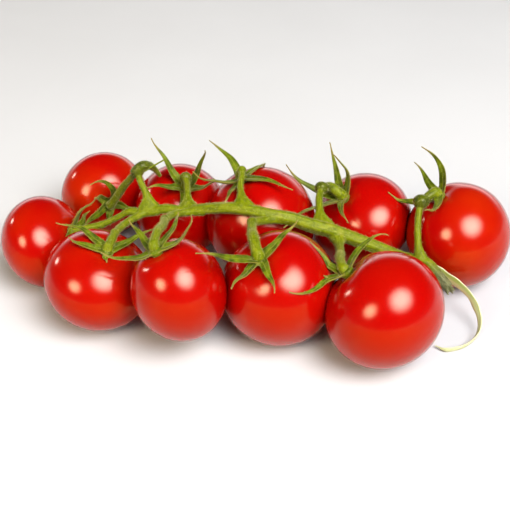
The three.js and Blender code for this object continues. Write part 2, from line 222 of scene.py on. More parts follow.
@dataclass
class Shell:
    """A closed skin in millimetres, with values marked on its points."""

    points: np.ndarray
    faces: list[tuple[int, ...]]
    marks: dict[Mark, np.ndarray] = field(default_factory=dict)

    @classmethod
    def lofted(cls, rings: np.ndarray, marks: dict[Mark, np.ndarray]) -> "Shell":
        """Joins rings of points into a skin that is closed at both ends.

        Args:
            rings: Points by ring, then round each ring.
            marks: Values by ring and round each ring.

        Returns:
            The closed skin.
        """
        count, sides = rings.shape[:2]
        faces: list[tuple[int, ...]] = []
        for step in range(count - 1):
            low, high = step * sides, (step + 1) * sides
            for side in range(sides):
                after = (side + 1) % sides
                faces.append((low + side, low + after, high + after, high + side))
        first, last = count * sides, count * sides + 1
        top = (count - 1) * sides
        for side in range(sides):
            after = (side + 1) % sides
            faces.append((first, after, side))
            faces.append((last, top + side, top + after))
        points = np.vstack([rings.reshape(-1, 3), rings[0].mean(0), rings[-1].mean(0)])
        kept = {}
        for mark, values in marks.items():
            kept[mark] = np.concatenate([values.reshape(-1), [values[0].mean(), values[-1].mean()]])
        return cls(points, faces, kept)

    @classmethod
    def together(cls, shells: list["Shell"]) -> "Shell":
        """Puts several skins in one, without fusing them.

        Args:
            shells: Skins that carry the same marks.

        Returns:
            One skin with all their points and faces.
        """
        faces: list[tuple[int, ...]] = []
        start = 0
        for shell in shells:
            faces += [tuple(corner + start for corner in face) for face in shell.faces]
            start += len(shell.points)
        names = shells[0].marks
        marks = {mark: np.concatenate([shell.marks[mark] for shell in shells]) for mark in names}
        return cls(np.vstack([shell.points for shell in shells]), faces, marks)

    def piece(self, name: str) -> bpy.types.Object:
        """Makes an object of this skin.

        Args:
            name: The name of the object and of its mesh.

        Returns:
            The object, in metres, with its marks as point attributes.
        """
        mesh = bpy.data.meshes.new(name)
        mesh.from_pydata((self.points * MM).tolist(), [], self.faces)
        mesh.update()
        write_marks(mesh, self.marks)
        return placed(mesh)

    def fused(self, name: str, voxel: float, rounding: int) -> bpy.types.Object:
        """Fuses overlapping skins into one, with softened joins.

        Args:
            name: The name of the new object.
            voxel: The grain of the fused skin in millimetres.
            rounding: How many times the skin is smoothed.

        Returns:
            The fused object, its marks carried over from the nearest old points.
        """
        rough = self.piece(f"{name}_rough")
        fuse = rough.modifiers.new("Fuse", "REMESH")
        fuse.mode = "VOXEL"
        fuse.voxel_size = voxel * MM
        soften = rough.modifiers.new("Soften", "SMOOTH")
        soften.factor = 0.5
        soften.iterations = rounding
        seen = bpy.context.evaluated_depsgraph_get()
        mesh = bpy.data.meshes.new_from_object(rough.evaluated_get(seen))
        mesh.name = name
        bpy.data.objects.remove(rough)
        write_marks(mesh, self.carried_to(points_of(mesh) / MM))
        return placed(mesh)

    def carried_to(self, places: np.ndarray) -> dict[Mark, np.ndarray]:
        """The marks at other places.

        Args:
            places: Where the marks are wanted, row by row.

        Returns:
            Each mark's values, taken from the nearest points of this skin.
        """
        tree = kdtree.KDTree(len(self.points))
        for index, point in enumerate(self.points):
            tree.insert(point, index)
        tree.balance()
        nearest = np.array([tree.find(place)[1] for place in places])
        return {mark: values[nearest] for mark, values in self.marks.items()}


def put(data: bpy.types.Mesh | bpy.types.Light | bpy.types.Camera) -> bpy.types.Object:
    """Puts a mesh, a light or a camera into the scene.

    Args:
        data: What the object shows.

    Returns:
        Its object, under the same name.
    """
    thing = bpy.data.objects.new(data.name, data)
    bpy.context.scene.collection.objects.link(thing)
    return thing


def placed(mesh: bpy.types.Mesh) -> bpy.types.Object:
    """Puts a mesh into the scene, shaded smooth, as an object of the same name."""
    mesh.shade_smooth()
    return put(mesh)


def points_of(mesh: bpy.types.Mesh) -> np.ndarray:
    """Reads the points of a mesh.

    Args:
        mesh: The mesh.

    Returns:
        Its points in metres, row by row.
    """
    flat = np.zeros(3 * len(mesh.vertices), np.float32)
    mesh.vertices.foreach_get("co", flat)
    return flat.reshape(-1, 3).astype(float)


def write_marks(mesh: bpy.types.Mesh, marks: dict[Mark, np.ndarray]) -> None:
    """Keeps marked values as point attributes of a mesh.

    Args:
        mesh: The mesh.
        marks: A value for each of its points, under each mark.
    """
    for mark, values in marks.items():
        attribute = mesh.attributes.new(mark.value, "FLOAT", "POINT")
        attribute.data.foreach_set("value", values.astype(np.float32))


def sweep(
    line: SmoothLine,
    lean: Point,
    half_width: np.ndarray,
    half_thickness: np.ndarray,
    sides: int,
    bulge: np.ndarray | float = 1.0,
    swollen: np.ndarray | float = 0.0,
) -> Shell:
    """A closed tube along a line, with a ring at each of its evenly spaced half widths.

    Args:
        line: The middle of the tube.
        lean: The direction that the half widths lie along.
        half_width: Half widths in millimetres, one for each ring.
        half_thickness: Half thicknesses in millimetres, one for each ring.
        sides: Points round each ring.
        bulge: Factors on the points, round every ring or by ring and round it.
        swollen: How much of a knuckle each ring is, from nothing to one.

    Returns:
        The tube, marked with its length along, its turn around and its swollen rings.
    """
    shares = np.linspace(0, 1, len(half_width))
    middle, along = line.at(shares), line.headings(shares)
    wide = np.array(lean, float)[None, :]
    across = unit(wide - np.sum(wide * along, axis=1, keepdims=True) * along)
    up = np.cross(along, across)
    turns = round_turns(sides)
    factor = bulge * np.ones((len(shares), sides))
    swollen = swollen * np.ones(len(shares))
    wide_part = (factor * np.cos(turns) * half_width[:, None])[:, :, None] * across[:, None, :]
    thick_part = (factor * np.sin(turns) * half_thickness[:, None])[:, :, None] * up[:, None, :]
    rings = middle[:, None, :] + wide_part + thick_part
    marks = {
        Mark.ALONG: np.repeat(shares[:, None] * line.length, sides, axis=1),
        Mark.AROUND: np.repeat(turns[None, :], len(shares), axis=0),
        Mark.SWOLLEN: np.repeat(swollen[:, None], sides, axis=1),
    }
    return Shell.lofted(rings, marks)


def strand(
    route: Route, thick: float, thin: float, rings: int, sides: int, lean: Point = ALONG_TRUSS
) -> Shell:
    """A round strand along a route, which tapers from a thick radius to a thin one."""
    radius = lerp(thick, thin, np.linspace(0, 1, rings))
    return sweep(SmoothLine(route), lean, radius, radius, sides)


# Finishes


@dataclass(frozen=True)
class Climb:
    """A smooth climb from nothing at a start to its top at an end."""

    start: float
    end: float
    top: float = 1.0


@dataclass(frozen=True)
class Clouds:
    """Cloudy noise: clouds in each unit of the place, and how much finer noise is added."""

    scale: float
    detail: float = 3.0


@dataclass
class Nodes:
    """A node tree, with short ways to add nodes to it."""

    tree: bpy.types.NodeTree

    def add(self, kind: Kind) -> bpy.types.Node:
        """Adds a node of this kind."""
        return self.tree.nodes.new(kind.value)

    def link(self, start: Socket, end: Socket) -> None:
        """Links two sockets."""
        self.tree.links.new(start, end)

    def parts(self, vector: Socket) -> dict[str, Socket]:
        """Takes a vector apart.

        Args:
            vector: The vector.

        Returns:
            Its X, Y and Z, by name.
        """
        split = self.add(Kind.SEPARATE)
        self.link(vector, split.inputs["Vector"])
        return {name: split.outputs[name] for name in "XYZ"}

    def away(self, place: Socket, point: Point) -> Socket:
        """Measures how far a place is from a point.

        Args:
            place: The place.
            point: The fixed point.

        Returns:
            The distance between them.
        """
        apart = self.add(Kind.VECTOR)
        apart.operation = "DISTANCE"
        apart.inputs[1].default_value = point
        self.link(place, apart.inputs[0])
        return apart.outputs["Value"]

    def noise(self, place: Socket, clouds: Clouds) -> Socket:
        """Cloudy values about one half.

        Args:
            place: Where the noise is read.
            clouds: How fine the noise is.

        Returns:
            The noise value.
        """
        node = self.add(Kind.NOISE)
        node.inputs["Scale"].default_value = clouds.scale
        node.inputs["Detail"].default_value = clouds.detail
        self.link(place, node.inputs["Vector"])
        return node.outputs["Fac"]

    def ramp(self, value: Socket, climb: Climb) -> Socket:
        """Lets a value climb smoothly.

        Args:
            value: The value that the climb's start and end are measured on.
            climb: Where the climb starts and ends, and its top.

        Returns:
            The climbing value, from nothing to the climb's top.
        """
        node = self.add(Kind.RAMP)
        node.interpolation_type = "SMOOTHSTEP"
        node.inputs["From Min"].default_value = climb.start
        node.inputs["From Max"].default_value = climb.end
        node.inputs["To Max"].default_value = climb.top
        self.link(value, node.inputs["Value"])
        return node.outputs["Result"]

    def patches(self, place: Socket, clouds: Clouds, climb: Climb) -> Socket:
        """Soft patches, where cloudy noise climbs."""
        return self.ramp(self.noise(place, clouds), climb)

    def math(self, operation: str, first: Socket, second: Socket | float = 0.0) -> Socket:
        """Works out one operation.

        Args:
            operation: The name of the operation.
            first: Its first value.
            second: Its second value, or a plain number.

        Returns:
            The result.
        """
        node = self.add(Kind.MATH)
        node.operation = operation
        self.link(first, node.inputs[0])
        if isinstance(second, (int, float)):
            node.inputs[1].default_value = second
        else:
            self.link(second, node.inputs[1])
        return node.outputs[0]

    def mix(self, factor: Socket, first: Socket | Colour, second: Socket | Colour) -> Socket:
        """Mixes two colours, which may be plain or come from other nodes.

        Args:
            factor: How much of the second colour there is.
            first: The first colour.
            second: The second colour.

        Returns:
            The mixed colour.
        """
        node = self.add(Kind.MIX)
        node.data_type = "RGBA"
        self.link(factor, node.inputs["Factor"])
        for colour, socket in ((first, node.inputs[6]), (second, node.inputs[7])):
            if isinstance(colour, tuple):
                socket.default_value = (*colour, 1.0)
            else:
                self.link(colour, socket)
        return node.outputs[2]


class Bench(Nodes):
    """The nodes of a new material, with its shader."""

    def __init__(self, name: str) -> None:
        """Makes the material and finds its shader.

        Args:
            name: The material's name.
        """
        self.material = bpy.data.materials.new(name)
        self.material.use_nodes = True
        super().__init__(self.material.node_tree)
        self.shader = self.tree.nodes["Principled BSDF"]

    def set(self, **values: float | tuple[float, ...]) -> None:
        """Sets constant sockets of the shader, named with underscores for blanks."""
        for name, value in values.items():
            self.shader.inputs[name.replace("_", " ")].default_value = value

    def feed(self, socket: Socket, name: str) -> None:
        """Gives the shader's named input a value."""
        self.link(socket, self.shader.inputs[name])

    def mark(self, mark: Mark) -> Socket:
        """The value that a mesh keeps under this mark.

        Args:
            mark: The mark.

        Returns:
            Its value.
        """
        node = self.add(Kind.ATTRIBUTE)
        node.attribute_name = mark.value
        return node.outputs["Fac"]

    def place(self) -> Socket:
        """The place on the object, in metres."""
        return self.add(Kind.COORDINATES).outputs["Object"]

    def upward(self) -> Socket:
        """How far the object's surface faces up, from -1 to 1."""
        return self.parts(self.add(Kind.COORDINATES).outputs["Normal"])["Z"]

    def drawn_out(self, lengthwise: float, girth: float, flat: bool = False) -> Socket:
        """A place for noise that is drawn out into streaks along a tube.

        Args:
            lengthwise: How much of the place a millimetre along the tube is.
            girth: The tube's radius in the place.
            flat: Whether both faces of the tube have the same streaks.

        Returns:
            The place.
        """
        drawn = self.add(Kind.COMBINE)
        self.link(self.math("MULTIPLY", self.mark(Mark.ALONG), lengthwise), drawn.inputs["X"])
        sides = {"Y": "COSINE"} if flat else {"Y": "COSINE", "Z": "SINE"}
        for name, operation in sides.items():
            side = self.math(operation, self.mark(Mark.AROUND))
            self.link(self.math("MULTIPLY", side, girth), drawn.inputs[name])
        return drawn.outputs["Vector"]

    def bump(self, height: Socket, depth: float, strength: float) -> None:
        """Raises the surface by a height value.

        Args:
            height: The height value.
            depth: The depth in millimetres that a height of one stands for.
            strength: How much the light shows of it.
        """
        node = self.add(Kind.BUMP)
        node.inputs["Strength"].default_value = strength
        node.inputs["Distance"].default_value = depth * MM
        self.link(height, node.inputs["Height"])
        self.feed(node.outputs["Normal"], "Normal")


@dataclass(frozen=True)
class SkinFinish:
    """Ripe tomato skin: thin, glossy and red, a little more orange in soft patches. Its reflections
    carry a painted tint set by which way the skin faces: orange and uncoated below, paler and coated
    above.
    """

    red: Colour = (0.29, 0.0005, 0.0003)
    orange: Colour = (0.33, 0.011, 0.0004)
    orange_clouds: Clouds = Clouds(45.0, 2.0)
    orange_climb: Climb = Climb(0.3, 0.7)
    shoulder: Colour = (0.3, 0.008, 0.0005)
    shoulder_climb: Climb = Climb(0.16, 0.04, 0.5)
    fleck: Colour = (0.36, 0.025, 0.002)
    fleck_scale: float = 1100.0
    fleck_climb: Climb = Climb(0.22, 0.08, 0.16)
    scar: Colour = (0.16, 0.08, 0.02)
    scar_climb: Climb = Climb(0.976, 0.988, 0.9)
    # Painted reflection tints: one for skin that faces up and one for skin that faces down. Only the
    # upward skin gets the coat.
    pale_reflection_tint_above: Colour = (1.0, 0.68, 0.45)
    orange_reflection_tint_below: Colour = (1.0, 0.62, 0.1)
    above_climb: Climb = Climb(0.25, 0.5)
    coat: float = 0.3
    swell: Clouds = Clouds(130.0, 1.0)
    swell_depth: float = 0.12
    swell_strength: float = 0.35

    def material(self) -> bpy.types.Material:
        """Makes the material.

        Returns:
            The new material.
        """
        bench = Bench("tomato_skin")
        place = bench.place()
        patches = bench.patches(place, self.orange_clouds, self.orange_climb)
        blush = bench.math("MULTIPLY", bench.mark(Mark.BLUSH), patches)
        colour = bench.mix(blush, self.red, self.orange)
        polar = bench.mark(Mark.POLAR)
        colour = bench.mix(bench.ramp(polar, self.shoulder_climb), colour, self.shoulder)
        dots = bench.add(Kind.VORONOI)
        dots.inputs["Scale"].default_value = self.fleck_scale
        bench.link(place, dots.inputs["Vector"])
        flecks = bench.ramp(dots.outputs["Distance"], self.fleck_climb)
        colour = bench.mix(flecks, colour, self.fleck)
        colour = bench.mix(bench.ramp(polar, self.scar_climb), colour, self.scar)
        bench.feed(colour, "Base Color")
        # Painted reflection colour: skin that faces down gets an orange specular tint and no coat, so
        # the table it mirrors shows orange. Skin that faces up gets a paler tint and a coat, so the
        # lamps' highlights show whiter.
        above = bench.ramp(bench.upward(), self.above_climb)
        bench.feed(bench.mix(above, self.orange_reflection_tint_below, self.pale_reflection_tint_above), "Specular Tint")
        bench.feed(bench.math("MULTIPLY", above, self.coat), "Coat Weight")
        bench.bump(bench.noise(place, self.swell), self.swell_depth, self.swell_strength)
        bench.set(
            Roughness=0.16,
            IOR=1.42,
            Specular_IOR_Level=0.5,
            Coat_Roughness=0.12,
            Coat_IOR=1.36,
            Subsurface_Weight=0.12,
            Subsurface_Radius=(1.0, 0.18, 0.08),
            Subsurface_Scale=1.6 * MM,
        )
        return bench.material


@dataclass(frozen=True)
class LeafFinish:
    """Sepal green: two greens in patches, a pale rib, pale edges and dry tips."""

    dark: Colour = (0.026, 0.042, 0.001)
    light: Colour = (0.105, 0.135, 0.002)
    light_clouds: Clouds = Clouds(420.0, 4.0)
    light_climb: Climb = Climb(0.3, 0.7)
    under: Colour = (0.11, 0.13, 0.01)
    under_climb: Climb = Climb(0.6, 0.3, 0.6)
    rib: Colour = (0.15, 0.17, 0.012)
    rib_climb: Climb = Climb(0.2, 0.03, 0.75)
    dry: Colour = (0.22, 0.16, 0.035)
    edge_climb: Climb = Climb(0.8, 1.0, 0.55)
    tip_climb: Climb = Climb(0.72, 1.0, 0.85)
    grain: Clouds = Clouds(2200.0)
    grain_depth: float = 0.15
    grain_strength: float = 0.6

    def material(self) -> bpy.types.Material:
        """Makes the material.

        Returns:
            The new material.
        """
        bench = Bench("calyx_green")
        place = bench.place()
        across = bench.math("ABSOLUTE", bench.mark(Mark.ACROSS))
        patches = bench.patches(place, self.light_clouds, self.light_climb)
        colour = bench.mix(patches, self.dark, self.light)
        below = bench.ramp(bench.mark(Mark.UPPER), self.under_climb)
        colour = bench.mix(below, colour, self.under)
        colour = bench.mix(bench.ramp(across, self.rib_climb), colour, self.rib)
        colour = bench.mix(bench.ramp(across, self.edge_climb), colour, self.dry)
        tip = bench.ramp(bench.mark(Mark.ALONG), self.tip_climb)
        bench.feed(bench.mix(tip, colour, self.dry), "Base Color")
        bench.bump(bench.noise(place, self.grain), self.grain_depth, self.grain_strength)
        bench.set(
            Roughness=0.45,
            Specular_IOR_Level=0.2,
            Specular_Tint=(1.0, 0.95, 0.5, 1.0),
            Sheen_Weight=0.15,
            Sheen_Roughness=0.35,
            Sheen_Tint=(1.0, 0.85, 0.4, 1.0),
            Subsurface_Weight=0.1,
            Subsurface_Radius=(0.5, 1.0, 0.2),
            Subsurface_Scale=0.5 * MM,
        )
        return bench.material


@dataclass(frozen=True)
class StemFinish:
    """Stem green: yellow-green, streaked and mottled, dark at its knuckles and dry at its torn end."""

    green: Colour = (0.145, 0.17, 0.0008)
    streaks: Clouds = Clouds(2.4, 4.0)
    streak_length: float = 0.12
    streak_girth: float = 2.2
    deep: Colour = (0.055, 0.075, 0.001)
    deep_climb: Climb = Climb(0.62, 0.36, 0.6)
    pale: Colour = (0.24, 0.22, 0.02)
    ridge_climb: Climb = Climb(0.58, 0.74, 0.5)
    blotches: Clouds = Clouds(260.0)
    blotch_climb: Climb = Climb(0.5, 0.75, 0.5)
    mottles: Clouds = Clouds(750.0, 4.0)
    mottle_climb: Climb = Climb(0.48, 0.66, 0.6)
    torn_end: Point = (0.065, -0.0145, 0.0125)
    torn_climb: Climb = Climb(0.011, 0.004, 0.9)
    withered: Colour = (0.03, 0.036, 0.014)
    dry: Colour = (0.19, 0.175, 0.09)
    strands: Clouds = Clouds(7.0)
    strand_climb: Climb = Climb(0.42, 0.6)
    knuckle: Colour = (0.055, 0.065, 0.004)
    dusk: Colour = (0.02, 0.026, 0.008)
    shadows: Clouds = Clouds(420.0)
    shadow_climb: Climb = Climb(0.42, 0.62)
    knuckle_climb: Climb = Climb(0.1, 1.0, 0.8)
    roughness_climb: Climb = Climb(2.2, -0.6, 0.5)
    grain: Clouds = Clouds(1800.0)
    grain_share: float = 0.4
    grain_depth: float = 0.16
    grain_strength: float = 0.5

    def material(self) -> bpy.types.Material:
        """Makes the material.

        Returns:
            The new material.
        """
        bench = Bench("stem_green")
        place = bench.place()
        drawn = bench.drawn_out(self.streak_length, self.streak_girth)
        streaks = bench.noise(drawn, self.streaks)
        colour = bench.mix(bench.ramp(streaks, self.deep_climb), self.green, self.deep)
        colour = bench.mix(bench.ramp(streaks, self.ridge_climb), colour, self.pale)
        blotches = bench.patches(place, self.blotches, self.blotch_climb)
        colour = bench.mix(blotches, colour, self.pale)
        mottles = bench.patches(place, self.mottles, self.mottle_climb)
        colour = bench.mix(mottles, colour, self.deep)
        strands = bench.patches(drawn, self.strands, self.strand_climb)
        torn = bench.ramp(bench.away(place, self.torn_end), self.torn_climb)
        colour = bench.mix(torn, colour, bench.mix(strands, self.withered, self.dry))
        swollen = bench.mark(Mark.SWOLLEN)
        shadows = bench.patches(place, self.shadows, self.shadow_climb)
        knuckle = bench.mix(shadows, self.knuckle, self.dusk)
        colour = bench.mix(bench.ramp(swollen, self.knuckle_climb), colour, knuckle)
        bench.feed(colour, "Base Color")
        bench.feed(bench.ramp(swollen, self.roughness_climb), "Roughness")
        grain = bench.math("MULTIPLY", bench.noise(place, self.grain), self.grain_share)
        grain = bench.math("ADD", streaks, grain)
        bench.bump(grain, self.grain_depth, self.grain_strength)
        bench.set(
            Specular_IOR_Level=0.2,
            Specular_Tint=(1.0, 0.95, 0.5, 1.0),
            Sheen_Weight=0.15,
            Sheen_Roughness=0.3,
            Sheen_Tint=(1.0, 0.8, 0.3, 1.0),
            Subsurface_Weight=0.1,
            Subsurface_Radius=(0.6, 1.0, 0.2),
            Subsurface_Scale=0.6 * MM,
        )
        return bench.material


@dataclass(frozen=True)
class PeelFinish:
    """A torn strip of stem skin: cream and pale green fibres, olive and tan near the stem."""

    cream: Colour = (0.6, 0.58, 0.33)
    green: Colour = (0.42, 0.44, 0.13)
    fibres: Clouds = Clouds(3.0, 4.0)
    fibre_length: float = 0.1
    fibre_girth: float = 3.0
    green_climb: Climb = Climb(0.4, 0.65)
    olive: Colour = (0.25, 0.26, 0.03)
    olive_climb: Climb = Climb(34.0, 12.0, 0.9)
    pale: Colour = (0.68, 0.63, 0.4)
    pale_edge: Climb = Climb(0.86, 0.98, 0.8)
    tan: Colour = (0.4, 0.29, 0.12)
    tan_edge: Climb = Climb(-0.45, -0.9, 0.85)
    ragged_edge: Climb = Climb(0.2, -0.5, 0.85)
    ragged_climb: Climb = Climb(30.0, 16.0)
    grain: Clouds = Clouds(2000.0)
    grain_share: float = 0.3
    grain_depth: float = 0.25
    grain_strength: float = 0.7

    def material(self) -> bpy.types.Material:
        """Makes the material.

        Returns:
            The new material.
        """
        bench = Bench("peel_cream")
        along = bench.mark(Mark.ALONG)
        sideways = bench.math("COSINE", bench.mark(Mark.AROUND))
        drawn = bench.drawn_out(self.fibre_length, self.fibre_girth, flat=True)
        fibres = bench.noise(drawn, self.fibres)
        colour = bench.mix(bench.ramp(fibres, self.green_climb), self.cream, self.green)
        colour = bench.mix(bench.ramp(along, self.olive_climb), colour, self.olive)
        colour = bench.mix(bench.ramp(sideways, self.pale_edge), colour, self.pale)
        ragged = bench.ramp(sideways, self.ragged_edge)
        ragged = bench.math("MULTIPLY", ragged, bench.ramp(along, self.ragged_climb))
        colour = bench.mix(ragged, colour, self.tan)
        colour = bench.mix(bench.ramp(sideways, self.tan_edge), colour, self.tan)
        bench.feed(colour, "Base Color")
        grain = bench.noise(bench.place(), self.grain)
        grain = bench.math("ADD", fibres, bench.math("MULTIPLY", grain, self.grain_share))
        bench.bump(grain, self.grain_depth, self.grain_strength)
        bench.set(
            Roughness=0.55,
            Subsurface_Weight=0.15,
            Subsurface_Radius=(1.0, 0.9, 0.4),
            Subsurface_Scale=0.6 * MM,
        )
        return bench.material


@dataclass(frozen=True)
class HairFinish:
    """Fine plant hairs: pale and a little shiny."""

    pale: Colour = (0.5, 0.46, 0.18)
    green: Colour = (0.3, 0.31, 0.06)
    green_clouds: Clouds = Clouds(500.0)
    green_climb: Climb = Climb(0.35, 0.65)

    def material(self) -> bpy.types.Material:
        """Makes the material.

        Returns:
            The new material.
        """
        bench = Bench("plant_hair")
        tone = bench.patches(bench.place(), self.green_clouds, self.green_climb)
        bench.feed(bench.mix(tone, self.pale, self.green), "Base Color")
        bench.set(Roughness=0.4)
        return bench.material


@dataclass(frozen=True)
class TableFinish:
    """A smooth pale table top."""

    white: Colour = (0.52, 0.507, 0.49)
    shade: Colour = (0.505, 0.492, 0.475)
    shade_clouds: Clouds = Clouds(12.0)
    shade_climb: Climb = Climb(0.3, 0.7)

    def material(self) -> bpy.types.Material:
        """Makes the material.

        Returns:
            The new material.
        """
        bench = Bench("pale_table")
        tone = bench.patches(bench.place(), self.shade_clouds, self.shade_climb)
        bench.feed(bench.mix(tone, self.white, self.shade), "Base Color")
        bench.set(Roughness=0.6, Specular_IOR_Level=0.3)
        return bench.material


@dataclass(frozen=True)
class Finishes:
    """Every finish as a material, made once."""

    skin: bpy.types.Material
    leaf: bpy.types.Material
    stem: bpy.types.Material
    peel: bpy.types.Material
    hair: bpy.types.Material

    @classmethod
    def made(cls) -> "Finishes":
        """Makes the material of each finish."""
        kinds = (SkinFinish, LeafFinish, StemFinish, PeelFinish, HairFinish)
        return cls(*(kind().material() for kind in kinds))


def dress(piece: bpy.types.Object, material: bpy.types.Material, slot: Slot, *nodes: str) -> None:
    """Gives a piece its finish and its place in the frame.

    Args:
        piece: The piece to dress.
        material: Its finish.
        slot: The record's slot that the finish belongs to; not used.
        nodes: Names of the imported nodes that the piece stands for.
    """
    piece.data.materials.clear()
    piece.data.materials.append(material)
    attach(piece, BODY)
    if nodes:
        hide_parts(*nodes)
    log.info("%s: %d points", piece.name, len(piece.data.vertices))


# Hairs


@dataclass(frozen=True)
class Fuzz:
    """Fine hairs that stand on a green skin. Lengths are in millimetres."""

    density: float
    shortest: float
    longest: float
    root: float = 0.04
    sunk: float = 0.1
    tilt: float = 0.45
    corners: int = 3

    def grown_on(
        self, host: bpy.types.Object, name: str, draws: np.random.Generator
    ) -> bpy.types.Object:
        """Grows the hairs of one skin as a mesh of slender closed spikes.

        Args:
            host: The skin.
            name: The name of the hairs' object.
            draws: Where the hairs' places, ways and lengths are drawn from.

        Returns:
            The hairs' object.
        """
        mesh = host.data
        mesh.calc_loop_triangles()
        triangles = np.array([triangle.vertices[:] for triangle in mesh.loop_triangles])
        skin = points_of(mesh)[triangles] / MM
        doubled = np.cross(skin[:, 1] - skin[:, 0], skin[:, 2] - skin[:, 0])
        areas = np.linalg.norm(doubled, axis=1) / 2
        count = int(areas.sum() * self.density)
        chosen = draws.choice(len(areas), count, p=areas / areas.sum())
        shares = draws.dirichlet((1, 1, 1), count)
        roots = np.einsum("ij,ijk->ik", shares, skin[chosen])
        normals = unit(doubled[chosen])
        ways = unit(normals + self.tilt * draws.normal(size=(count, 3)))
        lengths = draws.uniform(self.shortest, self.longest, count)[:, None]
        side = unit(np.cross(ways, draws.normal(size=(count, 3))))
        points = []
        for turn in round_turns(self.corners):
            around = turned(side, ways, np.full(count, turn))
            points.append(roots - self.sunk * normals + self.root * around)
        points.append(roots + lengths * ways)
        return Shell(np.stack(points, axis=1).reshape(-1, 3), self._spikes(count)).piece(name)

    def _spikes(self, count: int) -> list[tuple[int, ...]]:
        """The faces of so many spikes, each a closed cone with its tip as its last point.

        Args:
            count: How many spikes there are.

        Returns:
            The faces, spike by spike.
        """
        faces: list[tuple[int, ...]] = []
        size = self.corners + 1
        for low in range(0, size * count, size):
            tip = low + self.corners
            base = tuple(range(low, tip))
            faces.append(base[::-1])
            faces += [(start, end, tip) for start, end in zip(base, base[1:] + base[:1])]
        return faces


# The fruits


@dataclass(frozen=True)
class Sepal:
    """One sepal, by its angles about the stem axis in degrees, its length and the curl of its tip."""

    turn: float
    rise: float
    curl: float
    sway: float
    length: float
    roll: float = 0.0
    tip: float = 0.0


